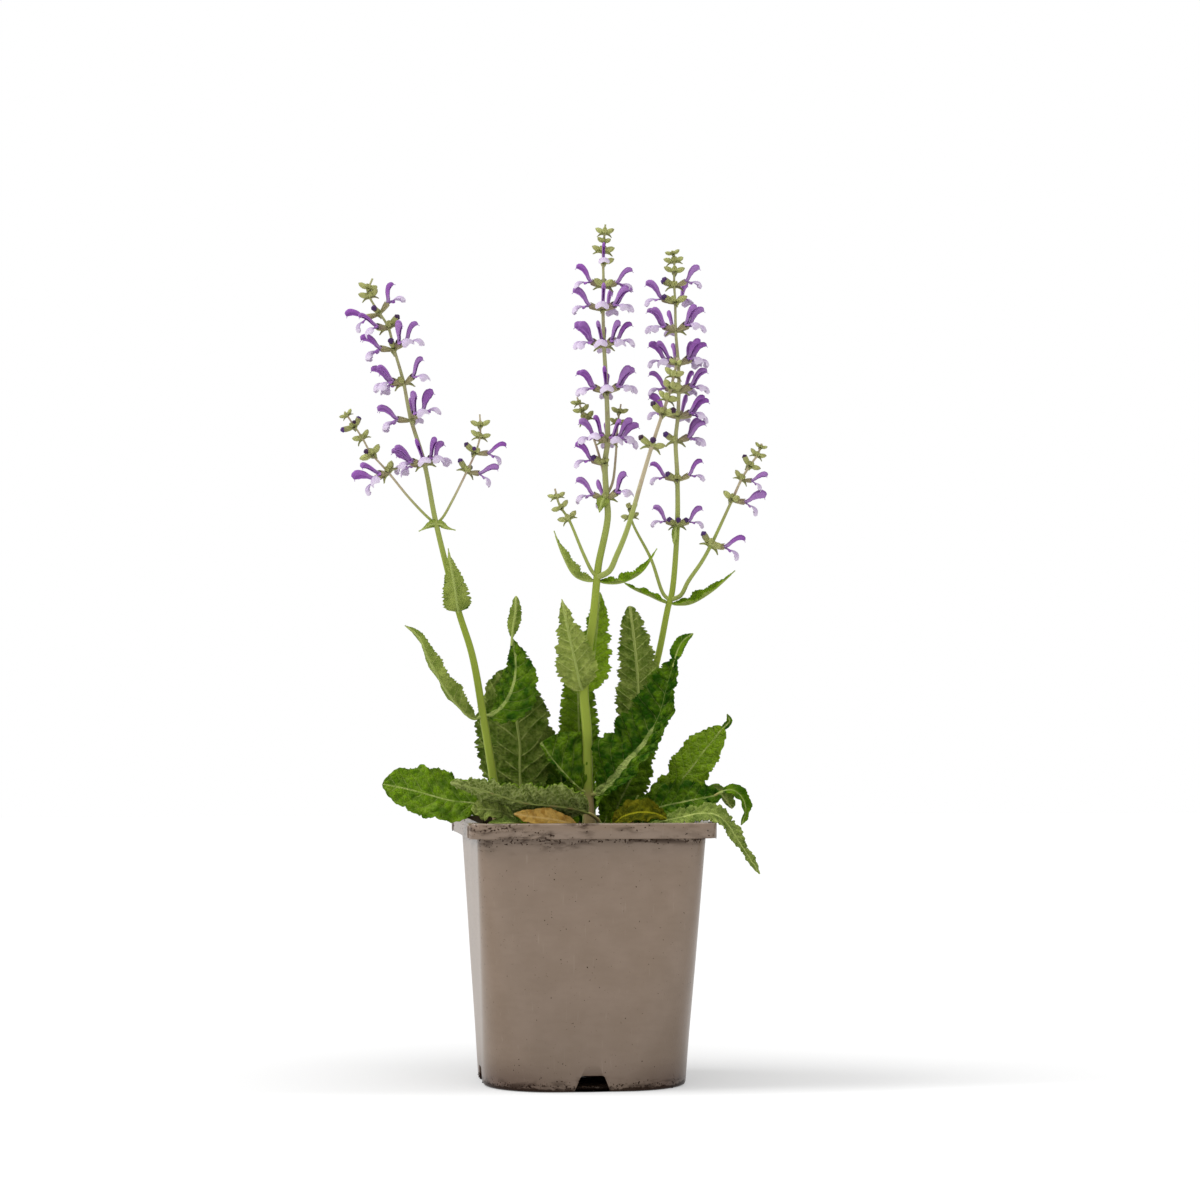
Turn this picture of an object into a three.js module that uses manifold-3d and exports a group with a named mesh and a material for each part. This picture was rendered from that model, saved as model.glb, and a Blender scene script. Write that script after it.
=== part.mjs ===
// A perennial salvia in its square nursery container: three flowering stems over a rosette of wrinkled leaves.
// Millimetres, +Z up. The origin is the middle of the container's flat underside, and the container's sides
// run along X and Y. The plant has axes of its own, across [x], away [y] and up [z], turned by PLANT_TURN.

import * as THREE from 'three';
import { mergeVertices } from 'three/addons/utils/BufferGeometryUtils.js';
import Module from 'manifold-3d';

const wasm = await Module();
wasm.setup();

// ---------------------------------------------------------------- driving dimensions

const CLEARANCE = 0.3;
const PLANT_TURN = THREE.MathUtils.degToRad(-6.5);

const POT_HEIGHT = 156;
const RIM_HALF = 72.5;          // the rim is 145 mm square outside
const RIM_CORNER = 9;
const RIM_SKIRT = 9;            // height of the folded-down rim
const RIM_OVERHANG = 5;
const RIM_EDGE = 0.8;           // chamfer along the rim's upper edge
const FOOT_HALF = 60;
const FOOT_CORNER = 42;         // the foot is nearly round
const FOOT_CHAMFER = 1.5;
const WALL = 1.6;
const FLOOR = 2.2;
const NOTCH = { foot: 22, top: 13.5, height: 9.5, depth: 13 };

const SOIL_TOP = 144;
const SOIL_ROUGHNESS = 1.1;
const PEG_DEPTH = 9;            // how far a stem or petiole goes into the soil
const PEG_NECK = 4;             // how far it rises straight above it

const BLADE = 0.8;              // thickness of every leaf blade
const TOOTH = 0.13;             // depth of a leaf's teeth, as a share of its half width
const RIPPLE_TURN = 2.1;        // radians of an edge's ripple from one row of a blade to the next
const PETIOLE_TIP = 0.75;       // radius where a petiole runs out under the blade
const PETIOLE_STOPS = [0.35, 0.7, 1.4];   // places along a petiole, as shares of the way to the blade's foot

// ---------------------------------------------------------------- colours

const finish = (color, roughness) => new THREE.MeshStandardMaterial({ color, roughness, metalness: 0 });
const TAUPE_PLASTIC = finish('#8a7a6a', 0.55);
const PEAT = finish('#2b1d13', 0.95);
const STEM_AND_FLOWER = finish('#8e6fb0', 0.6);
const LEAF_GREEN = finish('#47701c', 0.55);
const LEAF_UNDERSIDE = finish('#7f9160', 0.65);
const DEAD_LEAF = finish('#d0a45c', 0.8);
const YELLOW_LEAF = finish('#96921f', 0.7);

// ---------------------------------------------------------------- small tools

const AWAY = new THREE.Vector3(0, 1, 0);
const SQUARE = 4;
const vec = (p) => new THREE.Vector3(p[0], p[1], p[2]);
const lerp = THREE.MathUtils.lerp;
const radians = THREE.MathUtils.degToRad;

// A repeatable stream of numbers from 0 to 1.
function stream(seed) {
  let state = seed;
  return () => {
    state = (state * 16807) % 2147483647;
    return state / 2147483647;
  };
}

function solidGeometry(positions, index) {
  const geometry = new THREE.BufferGeometry();
  geometry.setAttribute('position', new THREE.Float32BufferAttribute(positions, 3));
  geometry.setIndex(index);
  return geometry;
}

// Skins a chain of rings that run anticlockwise as seen from the far end, and closes both ends. A ring at an
// end may be a single point.
function loft(rings) {
  const positions = rings.flatMap((ring) => ring.flatMap((p) => [p.x, p.y, p.z]));
  const starts = rings.map((_, k) => rings.slice(0, k).reduce((sum, ring) => sum + ring.length, 0));
  const index = [];
  for (let k = 0; k + 1 < rings.length; k += 1) {
    const low = rings[k].length;
    const high = rings[k + 1].length;
    const sides = Math.max(low, high);
    for (let i = 0; i < sides; i += 1) {
      const j = (i + 1) % sides;
      const [a, b] = [starts[k] + (i % low), starts[k] + (j % low)];
      const [c, d] = [starts[k + 1] + (j % high), starts[k + 1] + (i % high)];
      if (low > 1) index.push(a, b, c);
      if (high > 1) index.push(a, c, d);
    }
  }
  const last = starts[rings.length - 1];
  for (let i = 1; i + 1 < rings[0].length; i += 1) index.push(0, i + 1, i);
  for (let i = 1; i + 1 < rings[rings.length - 1].length; i += 1) index.push(last, last + i, last + i + 1);
  return solidGeometry(positions, index);
}

// Gives a thin closed blade from rows of { p, n }: places on its middle surface and the way its face looks.
// Both faces are split into triangles alike, so they never cross.
function slab(rows, thickness) {
  const columns = rows[0].length;
  const place = (k, j, face) => 2 * (k * columns + j) + face;
  const positions = rows.flatMap((row) => row.flatMap(({ p, n }) => {
    const up = n.clone().multiplyScalar(thickness / 2);
    return [...p.clone().add(up).toArray(), ...p.clone().sub(up).toArray()];
  }));
  const index = [];
  const quad = (a, b, c, d) => index.push(a, b, c, a, c, d);
  for (let k = 0; k + 1 < rows.length; k += 1) {
    for (let j = 0; j + 1 < columns; j += 1) {
      const outwards = j < (columns - 1) / 2;
      for (const face of [0, 1]) {
        const ring = [place(k, j, face), place(k, j + 1, face), place(k + 1, j + 1, face), place(k + 1, j, face)];
        const turned = outwards ? ring : [...ring.slice(1), ring[0]];
        quad(...(face === 0 ? turned : [turned[0], turned[3], turned[2], turned[1]]));
      }
    }
    const right = columns - 1;
    quad(place(k, 0, 1), place(k, 0, 0), place(k + 1, 0, 0), place(k + 1, 0, 1));
    quad(place(k, right, 0), place(k, right, 1), place(k + 1, right, 1), place(k + 1, right, 0));
  }
  const top = rows.length - 1;
  for (let j = 0; j + 1 < columns; j += 1) {
    quad(place(0, j, 0), place(0, j, 1), place(0, j + 1, 1), place(0, j + 1, 0));
    quad(place(top, j, 1), place(top, j, 0), place(top, j + 1, 0), place(top, j + 1, 1));
  }
  return solidGeometry(positions, index);
}

// Joins corners closer than a distance, and drops the triangles that this leaves without a width.
function welded(geometry, distance) {
  const bare = geometry.clone();
  for (const name of Object.keys(bare.attributes)) {
    if (name !== 'position') bare.deleteAttribute(name);
  }
  const merged = mergeVertices(bare, distance);
  const corners = Array.from(merged.index.array);
  const whole = (_, i) => {
    const [a, b, c] = corners.slice(i - (i % 3), i - (i % 3) + 3);
    return a !== b && b !== c && c !== a;
  };
  return merged.setIndex(corners.filter(whole));
}

function manifoldOf(geometry, distance = 1e-4) {
  const merged = welded(geometry, distance);
  return new wasm.Manifold(new wasm.Mesh({
    numProp: 3,
    vertProperties: new Float32Array(merged.attributes.position.array),
    triVerts: new Uint32Array(merged.index.array),
  }));
}

function geometryOf(solid) {
  const mesh = solid.getMesh();
  return solidGeometry(Array.from(mesh.vertProperties), Array.from(mesh.triVerts));
}

// Fuses grown-together pieces into one body. What is finer than MERGE is drawn together, and the crumbs that
// a join leaves, finer than WELD, are welded up.
const MERGE = 0.05;
const WELD = 0.01;
function fuse(geometries) {
  const whole = wasm.Manifold.union(geometries.map((piece) => manifoldOf(piece)));
  const clean = manifoldOf(geometryOf(whole.simplify(MERGE)), WELD);
  return welded(geometryOf(clean.simplify(MERGE)), WELD);
}

function node(name, geometry, material) {
  const mesh = new THREE.Mesh(geometry, material);
  mesh.name = name;
  return mesh;
}

// ---------------------------------------------------------------- container and soil

// A square ring with round corners, anticlockwise from above.
const CORNER_STEPS = 4;
function squareRing(half, corner, z) {
  const ring = [];
  for (let quarter = 0; quarter < 4; quarter += 1) {
    const turn = quarter * Math.PI / 2;
    const centre = new THREE.Vector2(half - corner, half - corner).rotateAround(new THREE.Vector2(), turn);
    for (let i = 0; i <= CORNER_STEPS; i += 1) {
      const a = turn + (i / CORNER_STEPS) * Math.PI / 2;
      ring.push(new THREE.Vector3(centre.x + corner * Math.cos(a), centre.y + corner * Math.sin(a), z));
    }
  }
  return ring;
}

// Outer half width and corner radius of the tapering wall at a height.
function wallAt(z) {
  const share = z / POT_HEIGHT;
  return {
    half: lerp(FOOT_HALF, RIM_HALF - RIM_OVERHANG, share),
    corner: lerp(FOOT_CORNER, RIM_CORNER, share),
  };
}

function wallRing(z, inset) {
  const { half, corner } = wallAt(z);
  return squareRing(half - inset, Math.max(corner - inset, 2), z);
}

function container() {
  const under = POT_HEIGHT - WALL;
  const skirt = POT_HEIGHT - RIM_SKIRT;
  const body = loft([
    squareRing(FOOT_HALF - FOOT_CHAMFER, FOOT_CORNER - FOOT_CHAMFER, 0),
    wallRing(FOOT_CHAMFER, 0),
    wallRing(under, 0),
    squareRing(RIM_HALF - WALL, RIM_CORNER - WALL, under),
    squareRing(RIM_HALF - WALL, RIM_CORNER - WALL, skirt),
    squareRing(RIM_HALF, RIM_CORNER, skirt),
    squareRing(RIM_HALF, RIM_CORNER, POT_HEIGHT - RIM_EDGE),
    squareRing(RIM_HALF - RIM_EDGE, RIM_CORNER - RIM_EDGE, POT_HEIGHT),
    wallRing(POT_HEIGHT, WALL),
    wallRing(FLOOR, WALL),
  ]);
  let solid = manifoldOf(body);
  for (let side = 0; side < 4; side += 1) {
    solid = solid.subtract(manifoldOf(notch(side * Math.PI / 2)));
  }
  return node('pot', geometryOf(solid.simplify(MERGE)), TAUPE_PLASTIC);
}

// One drain notch: a trapezoid cut through the wall and the edge of the floor.
function notch(turn) {
  const below = 1;
  const shape = new THREE.Shape([
    new THREE.Vector2(-NOTCH.foot / 2, -below),
    new THREE.Vector2(NOTCH.foot / 2, -below),
    new THREE.Vector2(NOTCH.top / 2, NOTCH.height),
    new THREE.Vector2(-NOTCH.top / 2, NOTCH.height),
  ]);
  const cutter = new THREE.ExtrudeGeometry(shape, { depth: NOTCH.depth, bevelEnabled: false });
  cutter.rotateX(Math.PI / 2);
  cutter.translate(0, -(FOOT_HALF + 2 - NOTCH.depth), 0);
  cutter.rotateZ(turn);
  return cutter;
}

function soil(holes) {
  const gap = WALL + CLEARANCE;
  const random = stream(11);
  const crumbs = (share, mound) => squareRing(
    (wallAt(SOIL_TOP).half - gap) * share,
    (wallAt(SOIL_TOP).corner - gap) * lerp(1, share, 0.5),
    SOIL_TOP + mound,
  ).map((p) => p.setZ(p.z + (random() - 0.5) * 2 * SOIL_ROUGHNESS));
  const body = loft([
    wallRing(FLOOR + CLEARANCE, gap),
    wallRing(SOIL_TOP - 1, gap),
    crumbs(0.94, -0.5),
    crumbs(0.66, 0.3),
    crumbs(0.34, 0.6),
    crumbs(0.08, 0.4),
  ]);
  const solid = holes.reduce((rest, hole) => rest.subtract(manifoldOf(hole)), manifoldOf(body));
  return node('soil', geometryOf(solid.simplify(MERGE)), PEAT);
}

// The hole in the soil for a foot: blind, four-cornered as the foot is, and wider all round.
function hole({ at: [x, y], radius }) {
  const height = PEG_DEPTH + PEG_NECK;
  const corner = radius + CLEARANCE * Math.SQRT2;
  const cutter = new THREE.CylinderGeometry(corner, corner, height, SQUARE);
  cutter.rotateY(Math.PI / SQUARE);
  cutter.rotateX(Math.PI / 2);
  cutter.translate(x, y, SOIL_TOP - PEG_DEPTH - CLEARANCE + height / 2);
  return cutter.rotateZ(PLANT_TURN);
}

// ---------------------------------------------------------------- stems and leaves

// A place along a curve, the way it runs, its right-hand side and its upper side, given which way is up.
function stationOn(curve, share, up) {
  const p = curve.getPointAt(share);
  const t = curve.getTangentAt(share);
  const s = new THREE.Vector3().crossVectors(t, up).normalize();
  const n = new THREE.Vector3().crossVectors(s, t);
  return { p, t, s, n };
}

// A rod through stations, each with its share of the way from foot to tip, which gives its radius.
function rod(stations, sides, radius) {
  return loft(stations.map(({ p, s, n, share }) => {
    const ring = [];
    for (let i = 0; i < sides; i += 1) {
      const a = -(i + 0.5) * 2 * Math.PI / sides;
      ring.push(p.clone()
        .addScaledVector(s, radius(share) * Math.cos(a))
        .addScaledVector(n, radius(share) * Math.sin(a)));
    }
    return ring;
  }));
}

// The two ends of the straight stretch in the soil, under a place on its surface.
function pegStations([x, y]) {
  return [SOIL_TOP - PEG_DEPTH, SOIL_TOP + PEG_NECK].map((z) => ({
    p: new THREE.Vector3(x, y, z),
    s: new THREE.Vector3(-1, 0, 0),
    n: AWAY,
    share: 0,
  }));
}

// The stations of a stalk through the given places; one that is rooted starts in the soil.
function stalkStations({ places, steps, rooted = false }) {
  const curve = new THREE.CatmullRomCurve3(places.map(vec), false, 'centripetal');
  const stations = rooted ? pegStations(places[0]) : [];
  for (let k = rooted ? 1 : 0; k <= steps; k += 1) {
    stations.push({ ...stationOn(curve, k / steps, AWAY), share: k / steps });
  }
  return stations;
}

// Half width of a blade as a share of its widest, from its foot (0) to its tip (1).
function outline(share, belly, blunt) {
  if (share < belly) return Math.sin((Math.PI / 2) * (share / belly)) ** 0.75;
  return Math.cos((Math.PI / 2) * ((share - belly) / (1 - belly))) ** blunt;
}

// A leaf: its midrib runs through 'spine', the blade begins at the share 'from' of it and faces 'up', which
// may turn from foot to tip. 'fold' lifts the two halves, 'wave' ripples the edges, 'left' and 'right' make
// one half narrower, and a 'tail' is the stretch past a pinched neck, described as the leaf is.
function leafParts({ tail, ...leaf }) {
  const {
    spine, width, up, from = 0.15, belly = 0.4, blunt = 0.75, fold = 20, wave = 1, steps = 11,
    petiole = 1.6, left = 1, right = 1, upTip = up, tooth = TOOTH, rooted = false,
  } = leaf;
  const curve = new THREE.CatmullRomCurve3(spine.map(vec), false, 'centripetal');
  const facing = (share) => vec(up).lerp(vec(upTip), share).normalize();
  const lift = radians(fold);
  const rows = [];
  for (let k = 0; k <= steps; k += 1) {
    const share = k / steps;
    const along = lerp(from, 1, share);
    const { p, s, n } = stationOn(curve, along, facing(along));
    const toothed = k % 2 ? 1 : 1 - tooth;
    const half = Math.max(width / 2 * outline(share, belly, blunt) * toothed, 0.5);
    const ripple = wave * Math.sin(k * RIPPLE_TURN) * outline(share, belly, blunt);
    const edge = (side, part, sway) => p.clone()
      .addScaledVector(s, side * half * part * Math.cos(lift))
      .addScaledVector(n, half * part * Math.sin(lift) + sway);
    rows.push([
      { p: edge(-1, left, ripple), n: n.clone().addScaledVector(s, Math.tan(lift)).normalize() },
      { p: p.clone(), n },
      { p: edge(1, right, -ripple), n: n.clone().addScaledVector(s, -Math.tan(lift)).normalize() },
    ]);
  }
  const stations = rooted ? pegStations(spine[0]) : [];
  const [first, ...later] = PETIOLE_STOPS;
  const reach = PETIOLE_STOPS[PETIOLE_STOPS.length - 1];
  for (const stop of [rooted ? first : 0, ...later]) {
    stations.push({ ...stationOn(curve, stop * from, AWAY), share: stop / reach });
  }
  const blade = [slab(rows, BLADE), rod(stations, SQUARE, (share) => lerp(petiole, PETIOLE_TIP, share))];
  return tail ? [...blade, ...leafParts(tail)] : blade;
}

// ---------------------------------------------------------------- flowers and buds

// The forms of a flower seen from its side: out from the stem, up along it, half width and half height. The
// calyx and the arched hood are one form, the broad hanging lip is another; each is three-sided.
const HOOD_FORM = [[-0.5, 0, 0, 0], [7.6, 1, 2.3, 2.6], [13, 8.4, 1.4, 2.3], [19, 10.8, 0.9, 1.3]];
const LIP_FORM = [[5, 1, 0, 0], [15.4, -1.4, 3.9, 0.8], [18.8, -4.5, 2.6, 0.7]];
const BUD_FORM = [[-0.5, 0, 0, 0], [4.6, 1.8, 2.1, 2.1], [7.8, 3.3, 1.1, 1.1]];

// One form at a compass angle round a stem, with its ridge up (1) or down (-1).
function petal(stem, angle, size, form, ridge) {
  const a = radians(angle);
  const out = new THREE.Vector3(Math.cos(a), Math.sin(a), 0);
  out.addScaledVector(stem.t, -out.dot(stem.t)).normalize();
  const across = new THREE.Vector3().crossVectors(out, stem.t).normalize();
  const at = ([o, u]) => stem.p.clone().addScaledVector(out, o * size).addScaledVector(stem.t, u * size);
  return loft(form.map((station, k) => {
    const [, , wide, high] = station;
    const p = at(station);
    if (!wide) return [p];
    const t = at(form[Math.min(k + 1, form.length - 1)]).sub(at(form[k - 1] ?? station));
    const n = new THREE.Vector3().crossVectors(across, t).normalize();
    return [0, 1, 2].map((i) => {
      const turn = ridge * Math.PI / 2 - i * 2 * Math.PI / 3;
      return p.clone()
        .addScaledVector(across, wide * size * Math.cos(turn))
        .addScaledVector(n, high * size * Math.sin(turn));
    });
  }));
}

const flower = (stem, angle, size) => [
  petal(stem, angle, size, HOOD_FORM, 1),
  petal(stem, angle, size, LIP_FORM, -1),
];
const bud = (stem, angle, size) => petal(stem, angle, size, BUD_FORM, 1);

// Where a stem passes a height, and the way it runs there.
function stemAt(stations, z) {
  const k = stations.findIndex(({ p }) => p.z > z);
  const [below, above] = [stations[k - 1].p, stations[k].p];
  return {
    p: below.clone().lerp(above, (z - below.z) / (above.z - below.z)),
    t: above.clone().sub(below).normalize(),
  };
}

// A stalk with its whorls: 'open' and 'buds' list compass angles, 0 to the right and 90 away.
function spray(branch) {
  const stations = stalkStations(branch);
  const { foot, tip } = branch;
  const parts = [rod(stations, SQUARE, (share) => lerp(foot, tip, share))];
  for (const { z, open = [], buds = [], size = 1 } of branch.whorls) {
    const stem = stemAt(stations, z);
    for (const angle of open) parts.push(...flower(stem, angle, size));
    for (const angle of buds) parts.push(bud(stem, angle, size));
  }
  return parts;
}

function floweringStem(name, { sprays, leaves }) {
  return node(name, fuse([...sprays.flatMap(spray), ...leaves.flatMap(leafParts)]), STEM_AND_FLOWER);
}

function basalLeaf(leaf) {
  return node(leaf.name, fuse(leafParts({ ...leaf, rooted: true })), leaf.material ?? LEAF_GREEN);
}

// ---------------------------------------------------------------- the three flowering stems

const LEFT_STEM = {
  sprays: [
    {
      places: [[-50, 5, 146], [-51.5, 5, 170], [-58.9, 5, 217.8], [-65.5, 4, 254.4], [-73.9, 2, 281.5],
        [-87.1, 0, 333.1], [-94.3, 0, 369.7], [-102.9, 1, 398], [-107.2, 1, 419.6], [-112.9, 1, 439.4],
        [-116.5, 1, 452.6], [-123.1, 1, 462.8], [-127.6, 1, 470.6], [-127.9, 1, 476], [-125.8, 1, 481.5]],
      rooted: true,
      foot: 3.4,
      tip: 0.7,
      steps: 20,
      whorls: [
        { z: 369.7, open: [180, 215, 145, 305, 272, 35] },
        { z: 396.6, open: [198, 165, 352, 300, 80] },
        { z: 418.6, open: [186, 218, 140, 325] },
        { z: 439.4, open: [196, 165, 352, 305], buds: [270] },
        { z: 452.2, open: [222], buds: [188, 0, 90] },
        { z: 461, open: [180, 2], buds: [260], size: 0.95 },
        { z: 470.6, buds: [200, 330, 80], size: 0.8 },
        { z: 475.5, buds: [180, 50], size: 0.8 },
      ],
    },
    {
      places: [[-87.1, 0, 333.1], [-92.5, -1, 337.5], [-103.6, -3, 349.1], [-116, -5, 364.3],
        [-126.4, -6, 375.9], [-131.5, -6, 384.9], [-136.3, -6, 392], [-142, -6, 400.4]],
      foot: 1.4,
      tip: 0.7,
      steps: 9,
      whorls: [
        { z: 364.3, open: [228, 180], buds: [30] },
        { z: 374.5, buds: [180, 20] },
        { z: 384.5, buds: [205, 20], size: 0.75 },
        { z: 391.5, buds: [185, 40], size: 0.9 },
        { z: 398, buds: [185, 10, 90, 270], size: 0.55 },
      ],
    },
    {
      places: [[-87.1, 0, 333.1], [-83, -1, 337.3], [-77.5, -2, 346.9], [-68.5, -3, 364.9], [-62.9, -4, 377.3],
        [-60.7, -4, 385.6], [-60.5, -4, 392.6], [-60.9, -4, 399]],
      foot: 1.3,
      tip: 0.7,
      steps: 9,
      whorls: [
        { z: 365.2, open: [350], buds: [180, 90], size: 0.9 },
        { z: 376.2, open: [8], buds: [170], size: 0.9 },
        { z: 385.5, buds: [180, 10], size: 0.75 },
        { z: 392.3, buds: [170, 10, 90], size: 0.75 },
      ],
    },
  ],
  leaves: [
    {
      spine: [[-58.9, 5, 217.8], [-65, 0, 216.5], [-72.7, -5, 223.2], [-80.5, -9, 233.4], [-90.7, -12, 251.4],
        [-97.3, -13, 265.2], [-105.1, -14, 271.8]],
      width: 17, up: [0.25, 0.55, 0.6], upTip: [0.5, 0.7, 0.4], from: 0.06, belly: 0.3, fold: 38, petiole: 1.3,
    },
    {
      spine: [[-58.9, 5, 217.8], [-52.5, 2, 219.5], [-46, 0, 225], [-41, -1, 235], [-39, -1, 249],
        [-41.2, 0, 265]],
      width: 34, up: [-0.45, -0.8, 0.3], from: 0.06, belly: 0.38, blunt: 1.1, fold: 24, petiole: 1.3,
      left: 0.8,
      tail: {
        spine: [[-41.8, -0.3, 260], [-41, 1, 270], [-39.5, 2, 280], [-39, 3, 290]],
        width: 9, up: [0, -0.95, 0.2], belly: 0.45, fold: 10, wave: 0.4, steps: 6, petiole: 0.9,
      },
    },
    {
      spine: [[-73.6, 1, 280], [-74.2, -3, 284], [-76, -6.5, 297], [-78, -8, 308], [-79.5, -9, 318.1]],
      width: 20, up: [0, 0.95, 0.3], from: 0.02, belly: 0.2, blunt: 0.9, fold: 12, steps: 10, petiole: 1.1,
    },
    {
      spine: [[-73.6, 1, 280], [-74.6, 6, 284], [-77.5, 11, 297], [-79, 14, 306], [-80.5, 17, 314]],
      width: 17, up: [0, -0.8, 0.55], from: 0.05, belly: 0.22, blunt: 0.9, fold: 12, steps: 10, petiole: 1.1,
    },
    {
      spine: [[-87, 0, 332], [-90, -1, 331], [-93.5, -2, 329.5], [-97.5, -3, 328.6]],
      width: 5, up: [0, -0.4, 0.9], from: 0.2, belly: 0.3, fold: 5, steps: 4, petiole: 0.9,
    },
    {
      spine: [[-87, 0, 332], [-84, 1, 331.4], [-80.5, 2, 330], [-75.4, 3, 329.4]],
      width: 5, up: [0, -0.4, 0.9], from: 0.2, belly: 0.3, fold: 5, steps: 4, petiole: 0.9,
    },
  ],
};

const CENTRE_STEM = {
  sprays: [
    {
      places: [[6, -8, 146], [4.2, -8, 170], [3.6, -8, 207.6], [1.8, -8, 237], [7.2, -8, 275.5],
        [9.6, -8, 300.7], [10.6, -8, 309.1], [16, -7, 336.7], [15.2, -6, 349.9], [14.4, -6, 369.7],
        [15.9, -6, 382.4], [15.2, -5, 414.8], [13.8, -5, 440.6], [13.2, -5, 462.8], [13.5, -5, 476],
        [13.3, -5, 488.7], [13.2, -5, 496.8], [13.8, -5, 504], [14.6, -5, 513.5]],
      rooted: true,
      foot: 4.2,
      tip: 0.7,
      steps: 22,
      whorls: [
        { z: 348.6, open: [190, 322, 100], buds: [0] },
        { z: 369.5, open: [182], buds: [200] },
        { z: 383, open: [200, 168, 240, 290, 328, 2, 90] },
        { z: 413, open: [178, 208, 270, 322, 0, 90] },
        { z: 440.7, open: [180, 210, 262, 305, 350, 90] },
        { z: 462.7, open: [180, 268, 322, 352, 70] },
        { z: 476.5, open: [180, 0], buds: [215, 325, 90], size: 0.95 },
        { z: 490.3, open: [272], buds: [0, 100], size: 0.8 },
        { z: 497.4, buds: [180, 0], size: 0.9 },
        { z: 502.8, buds: [215, 325, 90], size: 0.6 },
        { z: 508.4, buds: [180, 0, 270], size: 0.7 },
      ],
    },
    {
      places: [[9.6, -8, 300.7], [6.2, -10, 304.9], [1.1, -12, 315.4], [-7.2, -14, 334.9], [-13, -15, 344],
        [-15.6, -15, 353.5]],
      foot: 1.4,
      tip: 0.7,
      steps: 8,
      whorls: [
        { z: 335.5, buds: [180, 10, 270], size: 0.75 },
        { z: 342, buds: [200, 10], size: 0.7 },
        { z: 348.5, buds: [180, 10, 90], size: 0.65 },
      ],
    },
    {
      places: [[9.6, -8, 300.7], [16.8, -13, 304.4], [21.3, -17, 313.6], [27.3, -20, 328.3], [36.5, -23, 359.5],
        [42.2, -25, 378.5], [48.2, -27, 396.8], [52, -28, 408], [54.7, -29, 418], [57.5, -30, 430.4]],
      foot: 2.2,
      tip: 0.9,
      steps: 14,
      whorls: [
        { z: 378.5, buds: [180, 0, 270] },
        { z: 397.5, buds: [185, 0, 320, 90] },
        { z: 406, buds: [190, 250, 310, 10, 100], size: 0.95 },
        { z: 413, buds: [215, 280, 340, 40, 140], size: 0.9 },
        { z: 420, buds: [190, 260, 330, 70], size: 0.8 },
        { z: 427, buds: [180, 300, 60], size: 0.6 },
      ],
    },
    {
      places: [[15, -6, 352], [13.4, -2, 364], [8, 4, 384], [2.8, 7, 396.5], [0, 8, 403.6], [-2.4, 9, 410.5]],
      foot: 1.1,
      tip: 0.6,
      steps: 7,
      whorls: [
        { z: 397, buds: [0], size: 0.8 },
        { z: 402, buds: [180, 350], size: 0.65 },
        { z: 407, buds: [180, 80], size: 0.6 },
      ],
    },
    {
      places: [[15.4, -6, 350], [19, -1, 358.3], [20.9, 2, 374], [22.2, 4, 394.7], [24.1, 5, 406]],
      foot: 1.1,
      tip: 0.6,
      steps: 7,
      whorls: [
        { z: 394.5, buds: [170, 25], size: 0.65 },
        { z: 401, buds: [180, 0, 90], size: 0.65 },
      ],
    },
  ],
  leaves: [
    {
      spine: [[4.2, -8, 171], [0.5, -12, 173.6], [-6, -15, 179.5], [-12, -17.5, 186], [-17.5, -19, 192.5],
        [-23.6, -20, 202]],
      width: 54, up: [0.38, -0.84, 0.25], from: 0.12, belly: 0.55, blunt: 0.3, fold: 6, left: 0.08, petiole: 1.8,
    },
    {
      spine: [[4.2, -8, 170], [10, -13, 172], [18, -16, 178.5], [27.5, -18, 190.5], [36, -19, 199.5],
        [42, -19, 209], [47, -18, 219], [51.5, -17, 236], [56.5, -15, 252]],
      width: 44, up: [-0.45, -0.8, 0.3], from: 0.1, belly: 0.32, blunt: 0.5, fold: 30, steps: 14, petiole: 2,
      right: 0.7,
      tail: {
        spine: [[54.8, -15.5, 247], [57.5, -15, 256], [61, -14, 262.5], [67, -13, 267]],
        width: 10, up: [-0.5, -0.8, 0.2], belly: 0.3, fold: 20, wave: 0.4, steps: 6, petiole: 0.9,
      },
    },
    {
      spine: [[1.8, -8, 233], [0, -11.5, 235], [-2.5, -15, 246], [-7, -17, 266], [-11.4, -18, 287.5]],
      width: 25, up: [0.1, 0.95, 0.2], from: 0.04, belly: 0.3, fold: 10, petiole: 1.3,
    },
    {
      spine: [[1.8, -8, 233], [4, -3.5, 236], [7, 0, 247], [9.6, 2, 270], [11.4, 3, 292.3]],
      width: 22.5, up: [0.1, -0.95, 0.2], from: 0.02, belly: 0.28, fold: 10, petiole: 1.3,
    },
    {
      spine: [[9.4, -8, 299.5], [4, -9, 299], [-3.7, -10, 302], [-10.8, -11, 314], [-16.2, -12, 328.5]],
      width: 14, up: [0.35, 0.3, 0.85], upTip: [0.6, 0.3, 0.5], from: 0.08, belly: 0.4, blunt: 1.3, fold: 40,
      steps: 10, petiole: 1.1,
    },
    {
      spine: [[9.4, -8, 299.5], [15, -8.5, 297.8], [24, -9, 298], [36, -8, 304], [45.6, -7, 318.1]],
      width: 15, up: [-0.2, -0.3, 0.9], upTip: [-0.5, -0.3, 0.7], from: 0.08, belly: 0.35, blunt: 1.3, fold: 30,
      steps: 10, petiole: 1.1,
    },
    {
      spine: [[15.2, -6, 349], [14, -8.8, 348.4], [12.2, -10.2, 345], [11, -10.8, 339.5]],
      width: 7.5, up: [0, -0.9, 0.4], from: 0.2, belly: 0.3, fold: 10, steps: 4, petiole: 0.9,
    },
  ],
};

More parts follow.
